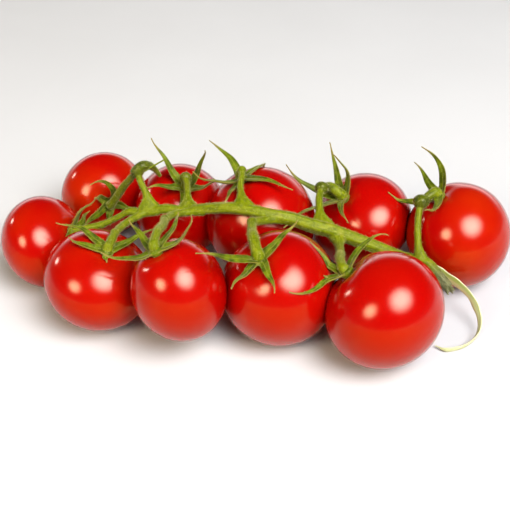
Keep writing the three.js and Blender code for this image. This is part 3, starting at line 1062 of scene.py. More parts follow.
@dataclass(frozen=True)
class Tomato:
    """One fruit, with its dimple, its stem axis and the spot it rests on."""

    number: str
    place: tuple[float, float]
    lift: float
    width: float
    height: float
    pinch: float
    faces: Point
    blush: float = 0.12

    stem_half: float = 0.97
    blossom_half: float = 1.03
    dimple_depth: float = 0.11
    dimple_spread: float = 0.3
    rest_flat: float = 0.25
    press_gap: float = 0.1
    rings: int = 72
    ring_crowding: float = 1.12
    ring_ends: Span = (0.994, 0.006)
    sides: int = 112
    unevenness: float = 0.006
    body_lobes: tuple[int, ...] = (2, 3)
    shoulder_lobes: int = 5
    shoulder_share: float = 0.8
    shoulder_polar: float = 0.5
    shoulder_spread: float = 0.3
    navel_depth: float = 0.012
    navel_spread: float = 0.1

    @cached_property
    def axis(self) -> np.ndarray:
        """The way that the stem end faces."""
        return unit(np.array(self.faces))

    @cached_property
    def right(self) -> np.ndarray:
        """A direction across the stem axis, as near to +X as can be."""
        along_x = np.array(ALONG_TRUSS)
        return unit(along_x - along_x @ self.axis * self.axis)

    @cached_property
    def back(self) -> np.ndarray:
        """The other direction across the stem axis."""
        return np.cross(self.axis, self.right)

    @cached_property
    def squeeze(self) -> np.ndarray:
        """Factors on the three directions, for a fruit that is pinched along +X."""
        return np.array((self.pinch, 1.0, 1.0))

    @cached_property
    def centre(self) -> np.ndarray:
        """The fruit's centre, set so that its lowest skin is where it rests."""
        lowest = self._about_centre(1.0)[..., 2].min()
        sunk = self.rest_flat if self.lift == 0 else 0.0
        return np.array((*self.place, self.lift - sunk - lowest))

    def out(self, angles: np.ndarray) -> np.ndarray:
        """The ways out from the stem axis at these angles round it."""
        return np.cos(angles)[:, None] * self.right + np.sin(angles)[:, None] * self.back

    def radius(self, polar: np.ndarray) -> np.ndarray:
        """The skin's distance from the centre, before the fruit is pinched.

        Args:
            polar: Angles from the stem axis in radians.

        Returns:
            A distance in millimetres for each angle.
        """
        half = np.where(np.cos(polar) > 0, self.stem_half, self.blossom_half)
        ratio = half * self.height / self.width
        oval = 1 / np.hypot(np.sin(polar), np.cos(polar) / ratio)
        dimple = self.dimple_depth * bell(polar, self.dimple_spread)
        return self.width / 2 * (oval - dimple)

    @cached_property
    def ring_angles(self) -> np.ndarray:
        """Angles from the stem axis, from the blossom end up."""
        return math.pi * np.linspace(*self.ring_ends, self.rings) ** self.ring_crowding

    def _about_centre(self, factor: np.ndarray | float) -> np.ndarray:
        """Rings of skin points about the centre.

        Args:
            factor: Factors on the radius, by ring and round it.

        Returns:
            Points by ring, then round each ring.
        """
        polar = self.ring_angles
        radius = self.radius(polar)[:, None] * factor * np.ones(self.sides)
        wide = (radius * np.sin(polar)[:, None])[:, :, None] * self.out(round_turns(self.sides))
        tall = (radius * np.cos(polar)[:, None])[:, :, None] * self.axis
        return (wide + tall) * self.squeeze

    def _swelling(self) -> np.ndarray:
        """Makes the fruit a little uneven and its shoulders softly lobed.

        Returns:
            Factors near one on the radius, by ring and round it.
        """
        draws = Seed.FRUIT.draws(self.number)
        polar, turns = self.ring_angles[:, None], round_turns(self.sides)
        body = np.sin(polar) ** 2
        shoulder = bell(polar - self.shoulder_polar, self.shoulder_spread)
        factor = np.ones((self.rings, self.sides))
        for lobes in self.body_lobes:
            phase = draws.uniform(0, 2 * math.pi)
            factor += self.unevenness * body * np.cos(lobes * turns + phase)
        phase = draws.uniform(0, 2 * math.pi)
        lobed = np.cos(self.shoulder_lobes * turns + phase)
        factor += self.shoulder_share * self.unevenness * shoulder * lobed
        return factor - self.navel_depth * bell(math.pi - polar, self.navel_spread)

    def on_axis(self, height: float) -> np.ndarray:
        """A point on the stem axis at a height above the bottom of the dimple."""
        bottom = self.axis * self.radius(np.array(0.0))
        return self.centre + bottom * self.squeeze + self.axis * height

    def clear(self, points: np.ndarray, distance: np.ndarray | float) -> np.ndarray:
        """Moves points out of the skin.

        Args:
            points: Points, in rows or in rings.
            distance: How far above the skin they have to be at least.

        Returns:
            The points, those that were too near moved straight out from the centre.
        """
        rays = (points - self.centre) / self.squeeze
        length = np.linalg.norm(rays, axis=-1)
        polar = np.arccos(np.clip(rays @ self.axis / length, -1, 1))
        wanted = np.maximum(length, self.radius(polar) + distance)
        return self.centre + rays * (wanted / length)[..., None] * self.squeeze

    def reach(self, way: np.ndarray) -> float:
        """Measures the skin along a way.

        Args:
            way: A unit direction from the centre.

        Returns:
            How far the skin is from the centre along it.
        """
        ray = way / self.squeeze
        length = np.linalg.norm(ray)
        return float(self.radius(np.arccos(ray @ self.axis / length)) / length)

    def pressed(self, points: np.ndarray, other: "Tomato") -> np.ndarray:
        """Holds skin points back on a flat where another fruit presses against this one.

        Args:
            points: Points of this fruit's skin.
            other: The fruit that presses.

        Returns:
            The points, none of them past the flat.
        """
        way = other.centre - self.centre
        apart = np.linalg.norm(way)
        way = way / apart
        overlap = self.reach(way) + other.reach(-way) - apart
        flat = self.reach(way) - (overlap + self.press_gap) / 2
        beyond = np.maximum((points - self.centre) @ way - flat, 0)
        return points - beyond[..., None] * way

    def build(self, beside: tuple["Tomato", ...]) -> bpy.types.Object:
        """Makes the skin of the fruit.

        Args:
            beside: The fruits that press it flat.

        Returns:
            The skin, marked with its angle from the stem axis and its blush.
        """
        rings = self.centre + self._about_centre(self._swelling())
        for other in beside:
            rings = self.pressed(rings, other)
        rings[..., 2] = np.maximum(rings[..., 2], 0.0)
        polar = np.repeat(self.ring_angles[:, None] / math.pi, self.sides, axis=1)
        marks = {Mark.POLAR: polar, Mark.BLUSH: np.full(polar.shape, self.blush)}
        return Shell.lofted(rings, marks).piece(f"fruit_{self.number}")

    def dressed(self, finishes: Finishes, beside: tuple["Tomato", ...]) -> None:
        """Builds the fruit and gives it its finish."""
        dress(self.build(beside), finishes.skin, Slot.SKIN, f"tomato_{self.number}")


@dataclass
class Spine:
    """The middle of a sepal, with the ways to its side and up from its face, point by point."""

    middle: np.ndarray
    side: np.ndarray
    up: np.ndarray


@dataclass(frozen=True)
class Calyx:
    """The green star on a fruit: a small hub with its sepals. Lengths are in millimetres."""

    fruit: Tomato
    beside: tuple[Tomato, ...]
    sepals: tuple[Sepal, ...]

    hub_base: float = 1.6
    hub_radius: float = 2.4
    hub_neck: float = 1.5
    hub_sunk: float = 0.3
    hub_rim: Span = (0.9, 1.7)
    hub_top: float = 2.4
    hub_lip: float = 0.5
    hub_sides: int = 20

    width: float = 3.8
    tip_width: float = 0.42
    taper: float = 1.0
    thickness: float = 0.8
    thinning: float = 0.7
    edge_share: float = 0.5
    fold: float = 0.12
    fold_power: float = 1.4
    rib_share: float = 0.5
    rib_width: float = 0.16
    root: float = 1.5
    seat: float = 1.3
    clearance: float = 0.15
    thread_share: float = 0.1
    tip_start: float = 0.75
    tip_span: float = 0.35
    tip_spread: float = 15.0
    drift: float = 0.45
    drift_waves: Span = (7.0, 9.0)
    edge_wave: float = 0.07
    edge_waves: float = 9.0
    latest_phase: float = 6.0
    steps: int = 34
    section: int = 11
    voxel: float = 0.16
    rounding: int = 2
    fuzz: Fuzz = Fuzz(density=1.6, shortest=0.2, longest=0.7)

    @property
    def blade_end(self) -> float:
        """Where a blade's thread ends, as a share of the sepal's length."""
        return 1 + self.thread_share

    def _hub(self) -> Shell:
        """The disc in the dimple that the sepals grow from.

        Returns:
            The closed disc.
        """
        heights = (-self.hub_sunk, *self.hub_rim, self.hub_top, self.hub_top + self.hub_lip)
        radii = (self.hub_base, self.hub_radius, self.hub_radius, self.hub_neck, self.hub_neck)
        middle = np.array([self.fruit.on_axis(height) for height in heights])
        out = self.fruit.out(round_turns(self.hub_sides))
        rings = middle[:, None, :] + np.array(radii)[:, None, None] * out
        shape = rings.shape[:2]
        marks = {
            Mark.ALONG: np.zeros(shape),
            Mark.ACROSS: np.full(shape, 0.5),
            Mark.UPPER: np.ones(shape),
        }
        return Shell.lofted(rings, marks)

    def _clear(self, points: np.ndarray, distance: np.ndarray | float) -> np.ndarray:
        """Moves points clear of the fruit and of the fruits beside it.

        Args:
            points: Points, in rows or in rings.
            distance: How far above the skins they have to be at least.

        Returns:
            The points, clear of every skin.
        """
        for fruit in (*self.beside, self.fruit) * 2:
            points = fruit.clear(points, distance)
        return points

    def _headings(
        self, sepal: Sepal, shares: np.ndarray, tip_curl: float
    ) -> tuple[np.ndarray, np.ndarray]:
        """Finds which way a blade runs.

        Args:
            sepal: The blade's angles.
            shares: Shares of the sepal's length.
            tip_curl: The curl that is added at its tip, in degrees.

        Returns:
            The ways out from the stem axis, and the ways along the blade.
        """
        late = np.clip((shares - self.tip_start) / self.tip_span, 0, None) ** 2
        grown = np.minimum(shares, 1)
        climb = np.radians(sepal.rise + sepal.curl * grown + tip_curl * late)[:, None]
        out = self.fruit.out(np.radians(sepal.turn + sepal.sway * grown))
        return out, np.cos(climb) * out + np.sin(climb) * self.fruit.axis

    def _spine(self, sepal: Sepal, shares: np.ndarray, draws: np.random.Generator) -> Spine:
        """Lays the middle of a blade, which drifts a little to its sides.

        Args:
            sepal: The blade's angles and length.
            shares: Shares of the sepal's length.
            draws: Where its small irregularities are drawn from.

        Returns:
            The blade's middle and its ways.
        """
        tip_curl = sepal.tip + draws.uniform(-self.tip_spread, self.tip_spread)
        out, along = self._headings(sepal, shares, tip_curl)
        stride = sepal.length * self.blade_end / self.steps
        halfway = shares[:-1] + self.blade_end / self.steps / 2
        onward = self._headings(sepal, halfway, tip_curl)[1] * stride
        start = self.fruit.on_axis(self.seat) + self.root * out[0]
        middle = start + np.vstack([np.zeros(3), np.cumsum(onward, axis=0)])
        side = np.cross(self.fruit.axis, out)
        side = unit(side - np.sum(side * along, axis=1, keepdims=True) * along)
        side = turned(side, along, np.radians(sepal.roll) * np.minimum(1, 2 * shares))
        up = np.cross(along, side)
        drift = self.drift * np.minimum(shares, 1)
        phases = draws.uniform(0, self.latest_phase, 2)
        for waves, phase, way in zip(self.drift_waves, phases, (side, up)):
            middle = middle + (drift * np.sin(waves * shares + phase))[:, None] * way
        return Spine(middle, side, up)

    def _blade(self, sepal: Sepal, draws: np.random.Generator) -> Shell:
        """One sepal: a folded, ribbed blade that narrows into a thread.

        Args:
            sepal: Its angles and length.
            draws: Where its small irregularities are drawn from.

        Returns:
            The closed blade.
        """
        shares = np.linspace(0, self.blade_end, self.steps + 1)
        spine = self._spine(sepal, shares, draws)
        left = np.clip(1 - shares, 0, 1) ** self.taper
        phase = draws.uniform(0, self.latest_phase)
        fading = 1 - shares / self.blade_end
        waves = 1 + self.edge_wave * np.sin(shares * self.edge_waves + phase) * fading
        half_width = lerp(self.tip_width, self.width, left) / 2 * waves
        half_thick = lerp(self.tip_width, self.thickness, left**self.thinning) / 2
        middle = self._clear(spine.middle, half_thick + self.clearance)
        across = np.linspace(-1, 1, self.section)
        bow = half_width[:, None] * (2 * self.fold * np.abs(across) ** self.fold_power)
        body = self.edge_share + (1 - self.edge_share) * np.sqrt(1 - across**2)
        rib = self.rib_share * bell(across, self.rib_width) * left[:, None]
        top = half_thick[:, None] * (body - rib) + bow
        under = -half_thick[:, None] * (body + rib) + bow
        offsets = np.concatenate([across[::-1], across])
        heights = np.concatenate([top[:, ::-1], under], axis=1)
        sideways = (half_width[:, None] * offsets)[:, :, None] * spine.side[:, None, :]
        rings = middle[:, None, :] + sideways + heights[:, :, None] * spine.up[:, None, :]
        rings = self._clear(rings, self.clearance)
        count, sides = rings.shape[:2]
        upper = np.repeat((1.0, 0.0), self.section)
        marks = {
            Mark.ALONG: np.repeat(np.minimum(shares, 1)[:, None], sides, axis=1),
            Mark.ACROSS: np.repeat(offsets[None, :], count, axis=0),
            Mark.UPPER: np.repeat(upper[None, :], count, axis=0),
        }
        return Shell.lofted(rings, marks)

    def build(self) -> bpy.types.Object:
        """Makes the star as one fused skin.

        Returns:
            The star, its hub and sepals in one.
        """
        draws = Seed.SEPALS.draws(self.fruit.number)
        blades = [self._blade(sepal, draws) for sepal in self.sepals]
        whole = Shell.together([self._hub(), *blades])
        return whole.fused(f"star_{self.fruit.number}", self.voxel, self.rounding)

    def dressed(self, finishes: Finishes) -> None:
        """Builds the star with its hairs and gives them their finishes.

        Args:
            finishes: The finishes to choose from.
        """
        number = self.fruit.number
        star = self.build()
        hairs = self.fuzz.grown_on(star, f"star_hairs_{number}", Seed.STAR_HAIRS.draws(number))
        dress(star, finishes.leaf, Slot.CALYX, f"calyx_{number}")
        dress(hairs, finishes.hair, Slot.CALYX)


# The stem


@dataclass(frozen=True)
class Stalk:
    """A fruit's stalk: up from the main stem to a knuckle, and on to the fruit."""

    fruit: Tomato
    rising: Route
    falling: Route
    knuckle: float
    stout: float
    radius: float
    flare_along: float

    flare_across: float = 0.6
    flare_reach: float = 3.6
    top: float = 2.7
    landing: float = 0.5
    sunk: float = 0.8
    collar: float = 0.35
    collar_share: float = 0.12
    green_knuckle: float = 1.3
    darkening: float = 1.1
    knuckle_squash: float = 0.9
    knuckle_lean: Point = (0.3, 0.9, 0.1)
    knuckle_rings: int = 15
    blunt: float = 0.02
    rings: int = 40
    sides: int = 20

    @property
    def dark(self) -> float:
        """How dark the knuckle is, from nothing to one: the larger, the darker."""
        return float(np.clip((self.knuckle - self.green_knuckle) / self.darkening, 0, 1))

    def shells(self) -> list[Shell]:
        """Makes the stalk's parts, which overlap.

        Returns:
            The rising run, the knuckle and the run down to the fruit.
        """
        rising = SmoothLine(self.rising)
        heights = (self.top + self.landing, self.top + self.landing / 2, self.top - self.sunk)
        landing = [tuple(self.fruit.on_axis(height)) for height in heights]
        falling = SmoothLine((self.rising[-1], *self.falling, *landing))
        shares = np.linspace(0, 1, self.rings)
        fading = bell(shares * rising.length, self.flare_reach)
        wide = self.radius + self.flare_along * fading
        narrow = self.radius + self.flare_across * fading
        collar = self.collar * bell(1 - shares, self.collar_share)
        stout = lerp(self.radius, self.stout, np.minimum(1, 2 * shares)) + collar
        near = self.dark * bell((1 - shares) * rising.length, self.knuckle)
        after = self.dark * bell(shares * falling.length, 2 * self.knuckle)
        return [
            sweep(rising, rising.crosswise, wide, narrow, self.sides, swollen=near),
            self._knuckle(),
            sweep(falling, falling.crosswise, stout, stout, self.sides, swollen=after),
        ]

    def _knuckle(self) -> Shell:
        """The swollen joint of the stalk, a little flattened along it.

        Returns:
            The closed joint.
        """
        middle = np.array(self.rising[-1])
        up = unit(np.subtract(self.rising[-1], self.rising[-2]))
        half = self.knuckle_squash * self.knuckle * up
        line = SmoothLine(tuple(tuple(point) for point in (middle - half, middle, middle + half)))
        shares = np.linspace(0, 1, self.knuckle_rings)
        radius = self.knuckle * np.sqrt(np.maximum(1 - (2 * shares - 1) ** 2, self.blunt))
        return sweep(line, self.knuckle_lean, radius, radius, self.sides, swollen=self.dark)


@dataclass(frozen=True)
class Stem:
    """The main stem with its stalks, a barren hook, loose fibres and threads."""

    stalks: tuple[Stalk, ...]
    route: Route
    hook: Route
    fibre_tips: Route
    threads: tuple[Route, ...]

    radius_torn: float = 1.75
    radius_middle: float = 2.2
    radius_tip: float = 1.5
    stout: float = 0.35
    stout_at: float = 0.4
    stout_spread: float = 0.16
    ridges: int = 5
    ridge_depth: float = 0.06
    ridge_twist: float = 5.0
    rings: int = 150
    sides: int = 40

    hook_radius: float = 2.0
    hook_tip: float = 0.6
    hook_dark: float = 0.5
    hook_rings: int = 40
    hook_sides: int = 20

    fibre_root: float = 0.2
    fibre_radii: Span = (0.8, 0.32)
    fibre_rings: int = 10
    fibre_sides: int = 10

    frays: int = 12
    fray_sunk: float = 1.5
    fray_ring: Span = (0.7, 1.5)
    fray_lengths: Span = (1.8, 3.6)
    fray_splay: Span = (0.0, 0.6)
    fray_radii: Span = (0.338, 0.182)
    fray_rings: int = 8
    fray_sides: int = 8

    thread_radii: Span = (0.364, 0.26)
    thread_lean: Point = (1.0, 0.2, 0.0)
    thread_rings: int = 14
    thread_sides: int = 8

    voxel: float = 0.26
    rounding: int = 9
    fuzz: Fuzz = Fuzz(density=3.0, shortest=0.2, longest=0.8)

    def _rachis(self) -> Shell:
        """The main stem, softly ridged along its length.

        Returns:
            The closed stem.
        """
        shares = np.linspace(0, 1, self.rings)
        plain = lerp(self.radius_torn, self.radius_tip, shares)
        radius = plain + (self.radius_middle - self.radius_torn) * np.sin(math.pi * shares)
        radius = radius + self.stout * bell(shares - self.stout_at, self.stout_spread)
        twist = self.ridges * round_turns(self.sides) + self.ridge_twist * shares[:, None]
        bulge = 1 + self.ridge_depth * np.cos(twist)
        return sweep(SmoothLine(self.route), ACROSS_TRUSS, radius, radius, self.sides, bulge)

    def _hook(self) -> Shell:
        """The barren stalk behind the highest knuckle.

        Returns:
            The closed stalk.
        """
        shares = np.linspace(0, 1, self.hook_rings)
        radius = lerp(self.hook_radius, self.hook_tip, shares)
        dark = bell(shares, self.hook_dark)
        line = SmoothLine(self.hook)
        return sweep(line, ALONG_TRUSS, radius, radius, self.hook_sides, swollen=dark)

    def _fibre(self, tip: Point) -> Shell:
        """A loose fibre at the torn end.

        Args:
            tip: Where the fibre ends.

        Returns:
            The closed fibre.
        """
        end, inner = np.array(self.route[:2], float)
        root = end * (1 - self.fibre_root) + inner * self.fibre_root
        return strand((tuple(root), tip), *self.fibre_radii, self.fibre_rings, self.fibre_sides)

    def _frayed(self) -> list[Shell]:
        """Short stiff fibres that stand out of the torn end.

        Returns:
            The closed fibres.
        """
        draws = Seed.FRAYS.draws()
        end, inner = np.array(self.route[:2], float)
        onward = unit(end - inner)
        sideways = unit(np.cross(onward, STRAIGHT_UP))
        upward = np.cross(sideways, onward)
        shells = []
        for turn in round_turns(self.frays):
            out = math.cos(turn) * sideways + math.sin(turn) * upward
            root = end - self.fray_sunk * onward + draws.uniform(*self.fray_ring) * out
            tip = root + draws.uniform(*self.fray_lengths) * onward
            tip = tip + draws.uniform(*self.fray_splay) * out
            route = (tuple(root), tuple(tip))
            shells.append(strand(route, *self.fray_radii, self.fray_rings, self.fray_sides))
        return shells

    def _thread(self, route: Route) -> Shell:
        """A dry thread left from a shed flower."""
        shape = (*self.thread_radii, self.thread_rings, self.thread_sides)
        return strand(route, *shape, self.thread_lean)

    def build(self) -> bpy.types.Object:
        """Makes the stem as one fused skin.

        Returns:
            The stem with its stalks, hook and loose fibres.
        """
        shells = [self._rachis(), self._hook()]
        for stalk in self.stalks:
            shells += stalk.shells()
        shells += [self._fibre(tip) for tip in self.fibre_tips]
        return Shell.together(shells).fused("vine", self.voxel, self.rounding)

    def build_threads(self) -> bpy.types.Object:
        """Makes the fine fibres and threads, whose roots are sunk in the stem."""
        shells = [*self._frayed(), *(self._thread(route) for route in self.threads)]
        return Shell.together(shells).piece("vine_threads")

    def dressed(self, finishes: Finishes) -> None:
        """Builds the stem with its hairs and gives them their finishes.

        Args:
            finishes: The finishes to choose from.
        """
        vine = self.build()
        hairs = self.fuzz.grown_on(vine, "vine_hairs", Seed.STEM_HAIRS.draws())
        dress(vine, finishes.stem, Slot.STEM, "stem")
        dress(self.build_threads(), finishes.stem, Slot.STEM)
        dress(hairs, finishes.hair, Slot.STEM)


@dataclass(frozen=True)
class Peel:
    """The strip of skin torn from the stem, which curls down to the table."""

    route: Route
    lean: Point = (0.5, 0.0, 0.85)
    width: float = 3.0
    tip_width: float = 1.6
    thickness: float = 0.8
    waver: float = 0.08
    waver_waves: float = 31.0
    flutter: float = 0.05
    flutter_waves: float = 57.0
    flutter_phase: float = 1.0
    tip_share: float = 0.08
    tip_narrow: float = 0.25
    root_share: float = 0.12
    root_narrow: float = 0.3
    hollow: float = 0.55
    lift: float = 0.02
    rings: int = 170
    sides: int = 28

    def build(self) -> bpy.types.Object:
        """Makes the strip, uneven in its width and hollowed on one side.

        Returns:
            The strip, which nowhere goes under the table.
        """
        shares = np.linspace(0, 1, self.rings)
        uneven = 1 + self.waver * np.sin(self.waver_waves * shares)
        uneven = uneven + self.flutter * np.sin(self.flutter_waves * shares + self.flutter_phase)
        narrowing = np.clip((1 - shares) / self.tip_share, self.tip_narrow, 1)
        narrowing = narrowing * np.clip(shares / self.root_share, self.root_narrow, 1)
        half_width = lerp(self.width, self.tip_width, shares) / 2 * uneven * narrowing
        half_thick = np.full(self.rings, self.thickness / 2)
        hollowed = 1 - self.hollow * np.maximum(np.sin(round_turns(self.sides)), 0) ** 2
        line = SmoothLine(self.route)
        strip = sweep(line, self.lean, half_width, half_thick, self.sides, hollowed)
        strip.points[:, 2] = np.maximum(strip.points[:, 2], self.lift)
        return strip.piece("torn_strip")

    def dressed(self, finishes: Finishes) -> None:
        """Builds the strip and gives it its finish."""
        dress(self.build(), finishes.peel, Slot.PEEL, "stem_peel")


# The table, the light and the camera


@dataclass(frozen=True)
class Table:
    """The pale surface that the truss lies on. Lengths are in metres."""

    radius: float = 1.1
    sides: int = 96

    def build(self) -> None:
        """Makes the table top."""
        turns = round_turns(self.sides)
        rim = self.radius * np.stack([np.cos(turns), np.sin(turns), np.zeros(self.sides)], axis=1)
        mesh = bpy.data.meshes.new("table_top")
        mesh.from_pydata(rim.tolist(), [], [tuple(range(self.sides))])
        mesh.materials.append(TableFinish().material())
        put(mesh)


@dataclass(frozen=True)
class Lamp:
    """A round soft light that faces the truss and fades towards its rim. Lengths are in metres."""

    name: str
    way: Point
    distance: float
    radius: float
    watts: float
    colour: Colour
    middle: Point = (0.5, 0.5, 0.0)
    fade: Climb = Climb(0.5, 0.1, 2.6)

    def build(self, target: Vector) -> None:
        """Hangs the lamp.

        Args:
            target: The point that the lamp faces.
        """
        light = bpy.data.lights.new(self.name, "AREA")
        light.shape = "DISK"
        light.size = 2 * self.radius
        light.energy = self.watts
        light.color = self.colour
        light.use_nodes = True
        nodes = Nodes(light.node_tree)
        spot = nodes.add(Kind.GEOMETRY).outputs["Parametric"]
        strength = nodes.ramp(nodes.away(spot, self.middle), self.fade)
        nodes.link(strength, nodes.tree.nodes["Emission"].inputs["Strength"])
        lamp = put(light)
        way = Vector(self.way).normalized()
        lamp.location = target + self.distance * way
        lamp.rotation_euler = way.to_track_quat("Z", "Y").to_euler()


@dataclass(frozen=True)
class Room:
    """The dim room round the table: as pale as the table below, grey at the horizon, dark above."""

    horizon: Colour = (0.18, 0.18, 0.18)
    glow: Colour = (2.4, 2.4, 2.4)
    glow_climb: Climb = Climb(0.45, 0.95)
    ground: Colour = (0.86, 0.86, 0.86)
    ground_climb: Climb = Climb(0.0, -0.015)
    ceiling: Colour = (0.02, 0.02, 0.02)
    ceiling_climb: Climb = Climb(0.0, 0.35)

    def build(self) -> None:
        """Makes the world: a horizon that glows behind the truss, the pale ground and the ceiling."""
        world = bpy.data.worlds.new("room")
        world.use_nodes = True
        bpy.context.scene.world = world
        nodes = Nodes(world.node_tree)
        way = nodes.parts(nodes.add(Kind.COORDINATES).outputs["Generated"])
        shade = nodes.mix(nodes.ramp(way["Y"], self.glow_climb), self.horizon, self.glow)
        shade = nodes.mix(nodes.ramp(way["Z"], self.ground_climb), shade, self.ground)
        shade = nodes.mix(nodes.ramp(way["Z"], self.ceiling_climb), shade, self.ceiling)
        nodes.link(shade, nodes.tree.nodes["Background"].inputs["Color"])


@dataclass(frozen=True)
class Studio:
    """Soft studio light: a main lamp, a warm side lamp and a rim lamp in a dim room."""

    target: Point = (0.0, 0.0, 0.02)
    lamps: tuple[Lamp, ...] = (
        Lamp("main_lamp", (0.37, -0.52, 0.76), 1.2, 0.65, 37.0, (0.97, 1.0, 1.06)),
        Lamp("side_lamp", (-0.57, -0.63, 0.51), 1.2, 0.36, 10.5, (1.0, 0.88, 0.66)),
        Lamp("rim_lamp", (-0.86, 0.4, 0.33), 1.2, 0.11, 1.2, (1.0, 0.97, 0.92)),
    )

    def build(self) -> None:
        """Hangs the lamps and paints the room."""
        for lamp in self.lamps:
            lamp.build(Vector(self.target))
        Room().build()
        bpy.context.scene.view_settings.view_transform = "Standard"


@dataclass(frozen=True)
class Camera:
    """The camera, which looks along +Y and down at the truss. Lengths are in metres."""

    place: Point = (0.0, -0.27943, 0.219)
    pitch: float = 36.03
    focal_pixels: float = 1000.0
    image_side: float = 510.0
    sensor: float = 36.0
    nearest: float = 0.01

    def build(self) -> None:
        """Makes the camera and hands it to the scene."""
        lens = bpy.data.cameras.new("camera")
        lens.sensor_width = self.sensor
        lens.lens = self.sensor * self.focal_pixels / self.image_side
        lens.clip_start = self.nearest
        camera = put(lens)
        camera.location = self.place
        camera.rotation_euler = (math.radians(90 - self.pitch), 0.0, 0.0)
        bpy.context.scene.camera = camera


# The truss, fruit by fruit from its torn end


@dataclass(frozen=True)
class Bearing:
    """A fruit with its stalk's route and its sepals."""

    fruit: Tomato
    rising: Route
    knuckle: float
    stout: float
    sepals: tuple[Sepal, ...]
    falling: Route = ()
    radius: float = 1.1
    flare: float = 3.2

    @property
    def stalk(self) -> Stalk:
        """The stalk that bears the fruit."""
        route = (self.fruit, self.rising, self.falling)
        return Stalk(*route, self.knuckle, self.stout, self.radius, self.flare)


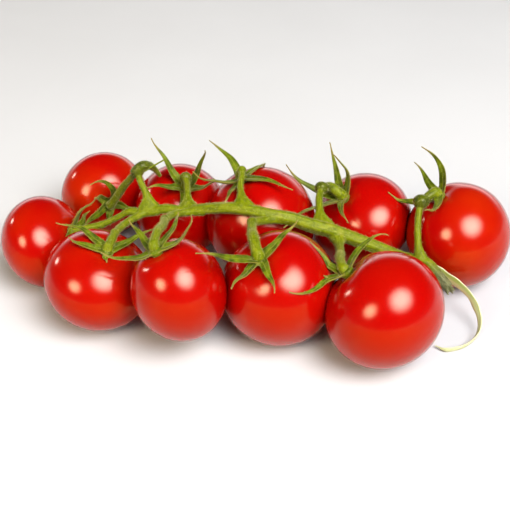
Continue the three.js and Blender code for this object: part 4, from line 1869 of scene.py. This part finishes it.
BEARINGS = (
    Bearing(
        Tomato("01", (71, 8.5), 0, 37, 37, 0.98, (-0.48, 0.08, 0.87), blush=0.8),
        rising=((56, -7.5, 18.5), (55, -5, 23.5), (55, -1, 27), (55.5, 3, 30.5), (56.5, 6.5, 33.5)),
        knuckle=2.8,
        stout=1.7,
        radius=1.15,
        flare=1.4,
        sepals=(
            Sepal(20, 50, 65, -15, 19, 60),
            Sepal(100, 15, 15, 0, 16),
            Sepal(175, -5, 45, -40, 16, -40),
            Sepal(265, -5, 45, -35, 14),
        ),
    ),
    Bearing(
        Tomato("02", (40.4, -35.1), 1.2, 38.6, 36, 1, (-0.7, 0.33, 0.63)),
        rising=((28, -2, 25.5), (28, -8, 25.5), (28, -15, 27)),
        falling=((27, -21.5, 30.5),),
        knuckle=1.4,
        stout=1.5,
        radius=1.45,
        flare=2.2,
        sepals=(
            Sepal(50, 15, -30, -45, 18, 50, tip=-40),
            Sepal(135, 58, 5, -25, 14),
            Sepal(175, 20, 40, 0, 7),
            Sepal(185, 30, -15, 30, 18, -60, tip=60),
        ),
    ),
    Bearing(
        Tomato("03", (38.5, 20.3), 0, 36.5, 31, 1, (-0.52, -0.22, 0.82)),
        rising=((22.5, -1, 28.5), (22, 4.5, 31), (22, 9.5, 33), (23, 14.5, 34)),
        falling=((26.5, 18, 32),),
        knuckle=2.4,
        stout=1.9,
        radius=1.25,
        sepals=(
            Sepal(35, 35, 75, -5, 18),
            Sepal(95, 20, 20, -20, 18),
            Sepal(165, 30, 35, -40, 21),
            Sepal(235, 50, -20, 5, 28.5),
            Sepal(275, 45, -50, 10, 16),
        ),
    ),
    Bearing(
        Tomato("04", (7.8, -22.8), 0, 38, 38, 1, (-0.36, -0.29, 0.89)),
        rising=((13, -3, 32.4), (7, -4.2, 33.4), (2.5, -6.5, 34.5), (-1, -10.5, 36.5)),
        falling=((-1, -16, 36.5), (-0.5, -22, 38.5)),
        knuckle=1.8,
        stout=1.75,
        radius=1.4,
        flare=0.6,
        sepals=(
            Sepal(22, 20, 10, 0, 14.5, 30),
            Sepal(35, 0, 20, 0, 8),
            Sepal(223, 60, -5, -5, 23.5, -60),
            Sepal(236, 20, 20, 30, 16.5),
            Sepal(298, 10, -20, -20, 12.5),
        ),
    ),
    Bearing(
        Tomato("05", (1.9, 14.2), 0.5, 38.5, 39, 1, (-0.36, 0.05, 0.93)),
        rising=((-4, -1.5, 36), (-4.5, 3, 38), (-5, 7, 39.5), (-4.5, 10.5, 41), (-4.5, 14, 41.5)),
        knuckle=1.6,
        stout=1.5,
        sepals=(
            Sepal(30, 5, -55, 90, 18),
            Sepal(100, 35, 5, 40, 17),
            Sepal(215, 20, 40, -10, 17),
            Sepal(255, 10, -10, -20, 13),
            Sepal(320, 10, -45, 15, 18),
        ),
    ),
    Bearing(
        Tomato("06", (-24.1, -30.2), 7, 31, 34.5, 0.97, (-0.4, 0, 0.92)),
        rising=((-17, 2, 33), (-22.5, 1.7, 32.4), (-27, -1.5, 33.6), (-29.5, -8, 36)),
        falling=((-29.5, -16, 39), (-30.5, -23, 41.5)),
        knuckle=1.6,
        stout=1.4,
        radius=1.25,
        flare=0.8,
        sepals=(
            Sepal(50, 5, -5, 30, 15),
            Sepal(125, 10, 10, -15, 16),
            Sepal(195, -5, 55, -30, 15),
            Sepal(355, -5, 65, -10, 17),
        ),
    ),
    Bearing(
        Tomato("07", (-27.2, 27.2), 0, 34.6, 32.5, 0.97, (0.17, -0.42, 0.89)),
        rising=((-22.5, 3.5, 32), (-23, 9, 33.5), (-23.5, 14.5, 34.5), (-24.3, 19.7, 35)),
        knuckle=2.1,
        stout=1.6,
        sepals=(
            Sepal(35, 60, 35, 5, 19),
            Sepal(140, 25, 10, -10, 18),
            Sepal(205, 45, -30, 0, 15),
            Sepal(265, 20, -40, 0, 9),
            Sepal(330, 50, 10, 0, 16, tip=80),
        ),
    ),
    Bearing(
        Tomato("08", (-52, -15.3), 1, 36.4, 30.5, 1, (0.3, -0.15, 0.94), blush=0.4),
        rising=(
            (-33, 5.2, 30.6),
            (-38, 4.6, 29.8),
            (-42, 0.5, 30),
            (-44.5, -5, 31),
            (-46, -10, 32),
        ),
        knuckle=1.5,
        stout=1.5,
        radius=1.25,
        flare=0.3,
        sepals=(
            Sepal(35, 10, 5, 10, 16),
            Sepal(140, 10, -25, 25, 17),
            Sepal(195, 15, -40, -60, 12),
            Sepal(270, 5, -20, 0, 3.5),
        ),
    ),
    Bearing(
        Tomato("09", (-56.7, 39), 0, 32, 28.5, 1, (0.28, -0.92, 0.28), blush=1.0),
        rising=((-36, 5.5, 30.5), (-37, 9, 34.5), (-39, 12, 37.5), (-40.5, 15.5, 40)),
        falling=((-46, 20, 31.5),),
        knuckle=2.4,
        stout=1.4,
        sepals=(
            Sepal(60, 45, -30, 130, 17),
            Sepal(140, 20, 60, 0, 10),
            Sepal(195, 55, 0, 0, 20),
            Sepal(265, 20, -30, 0, 6),
            Sepal(355, 20, -10, -30, 8),
        ),
    ),
    Bearing(
        Tomato("10", (-73.7, 8), 0, 33, 27, 1, (0.85, -0.22, 0.48), blush=0.6),
        rising=(
            (-39.5, 6, 29),
            (-43, 6.5, 29.5),
            (-46.5, 6.5, 27.5),
            (-50, 6.5, 25.5),
            (-53, 6.5, 24),
        ),
        knuckle=1.4,
        stout=1.3,
        flare=1.0,
        sepals=(
            Sepal(60, 10, -30, 0, 13),
            Sepal(130, 45, 40, 10, 15),
            Sepal(235, 10, 0, -15, 9),
            Sepal(350, 20, 0, 0, 9),
        ),
    ),
)

PRESSED = (
    ("01", "03"),
    ("02", "04"),
    ("03", "05"),
    ("04", "05"),
    ("04", "06"),
    ("05", "07"),
    ("06", "08"),
    ("07", "09"),
    ("08", "10"),
)

STEM_ROUTE = (
    (65, -14, 12.5),
    (61.5, -11, 15.5),
    (57.5, -8, 18.5),
    (50, -5, 18.5),
    (43, -3, 20.5),
    (32.5, -2, 24.5),
    (25.5, -2, 27.5),
    (18.5, -2.5, 30),
    (12, -3, 33),
    (5, -3, 34.5),
    (-1.5, -2, 35.5),
    (-8.5, -0.5, 35.5),
    (-18.5, 2.5, 33),
    (-24, 3.5, 31.5),
    (-30.5, 5, 31.5),
    (-39.5, 6, 29),
)

HOOK_ROUTE = (
    (-40.5, 15.5, 40.5),
    (-38.5, 16, 42),
    (-36.5, 18.5, 40.5),
    (-35, 21, 37.5),
    (-33.5, 23, 33.5),
)
FIBRE_TIPS = ((64.5, -16.5, 11.5), (66.5, -15.5, 11), (66.5, -16, 12.5))
THREADS = (((-38.5, 15.5, 39.8), (-35, 17, 41.3), (-31.5, 19, 42.5)),)

PEEL_ROUTE = (
    (58.6, -6.2, 18.2),
    (61, -7.6, 16.5),
    (63.5, -9, 14.9),
    (66, -11, 14),
    (68.5, -13, 13),
    (71, -15, 11.5),
    (73, -17, 9.5),
    (75, -21.5, 5.5),
    (74.5, -25, 3.5),
    (72.5, -28, 2),
    (69.5, -30.5, 1.3),
    (66, -32, 1.1),
    (62.5, -32.5, 1),
    (59.5, -30.5, 1),
)


def beside(fruit: Tomato) -> tuple[Tomato, ...]:
    """Finds a fruit's neighbours.

    Args:
        fruit: The fruit.

    Returns:
        The fruits that press against it.
    """
    pairs = [pair for pair in PRESSED if fruit.number in pair]
    others = (bearing.fruit for bearing in BEARINGS if bearing.fruit is not fruit)
    return tuple(other for other in others if any(other.number in pair for pair in pairs))


def main() -> None:
    """Builds the truss on its table, with its light and camera."""
    logging.basicConfig(level=logging.INFO, format="%(message)s")
    finishes = Finishes.made()
    for bearing in BEARINGS:
        near = beside(bearing.fruit)
        bearing.fruit.dressed(finishes, near)
        Calyx(bearing.fruit, near, bearing.sepals).dressed(finishes)
    stalks = tuple(bearing.stalk for bearing in BEARINGS)
    Stem(stalks, STEM_ROUTE, HOOK_ROUTE, FIBRE_TIPS, THREADS).dressed(finishes)
    Peel(PEEL_ROUTE).dressed(finishes)
    Table().build()
    Studio().build()
    Camera().build()


if __name__ == "__main__":
    main()
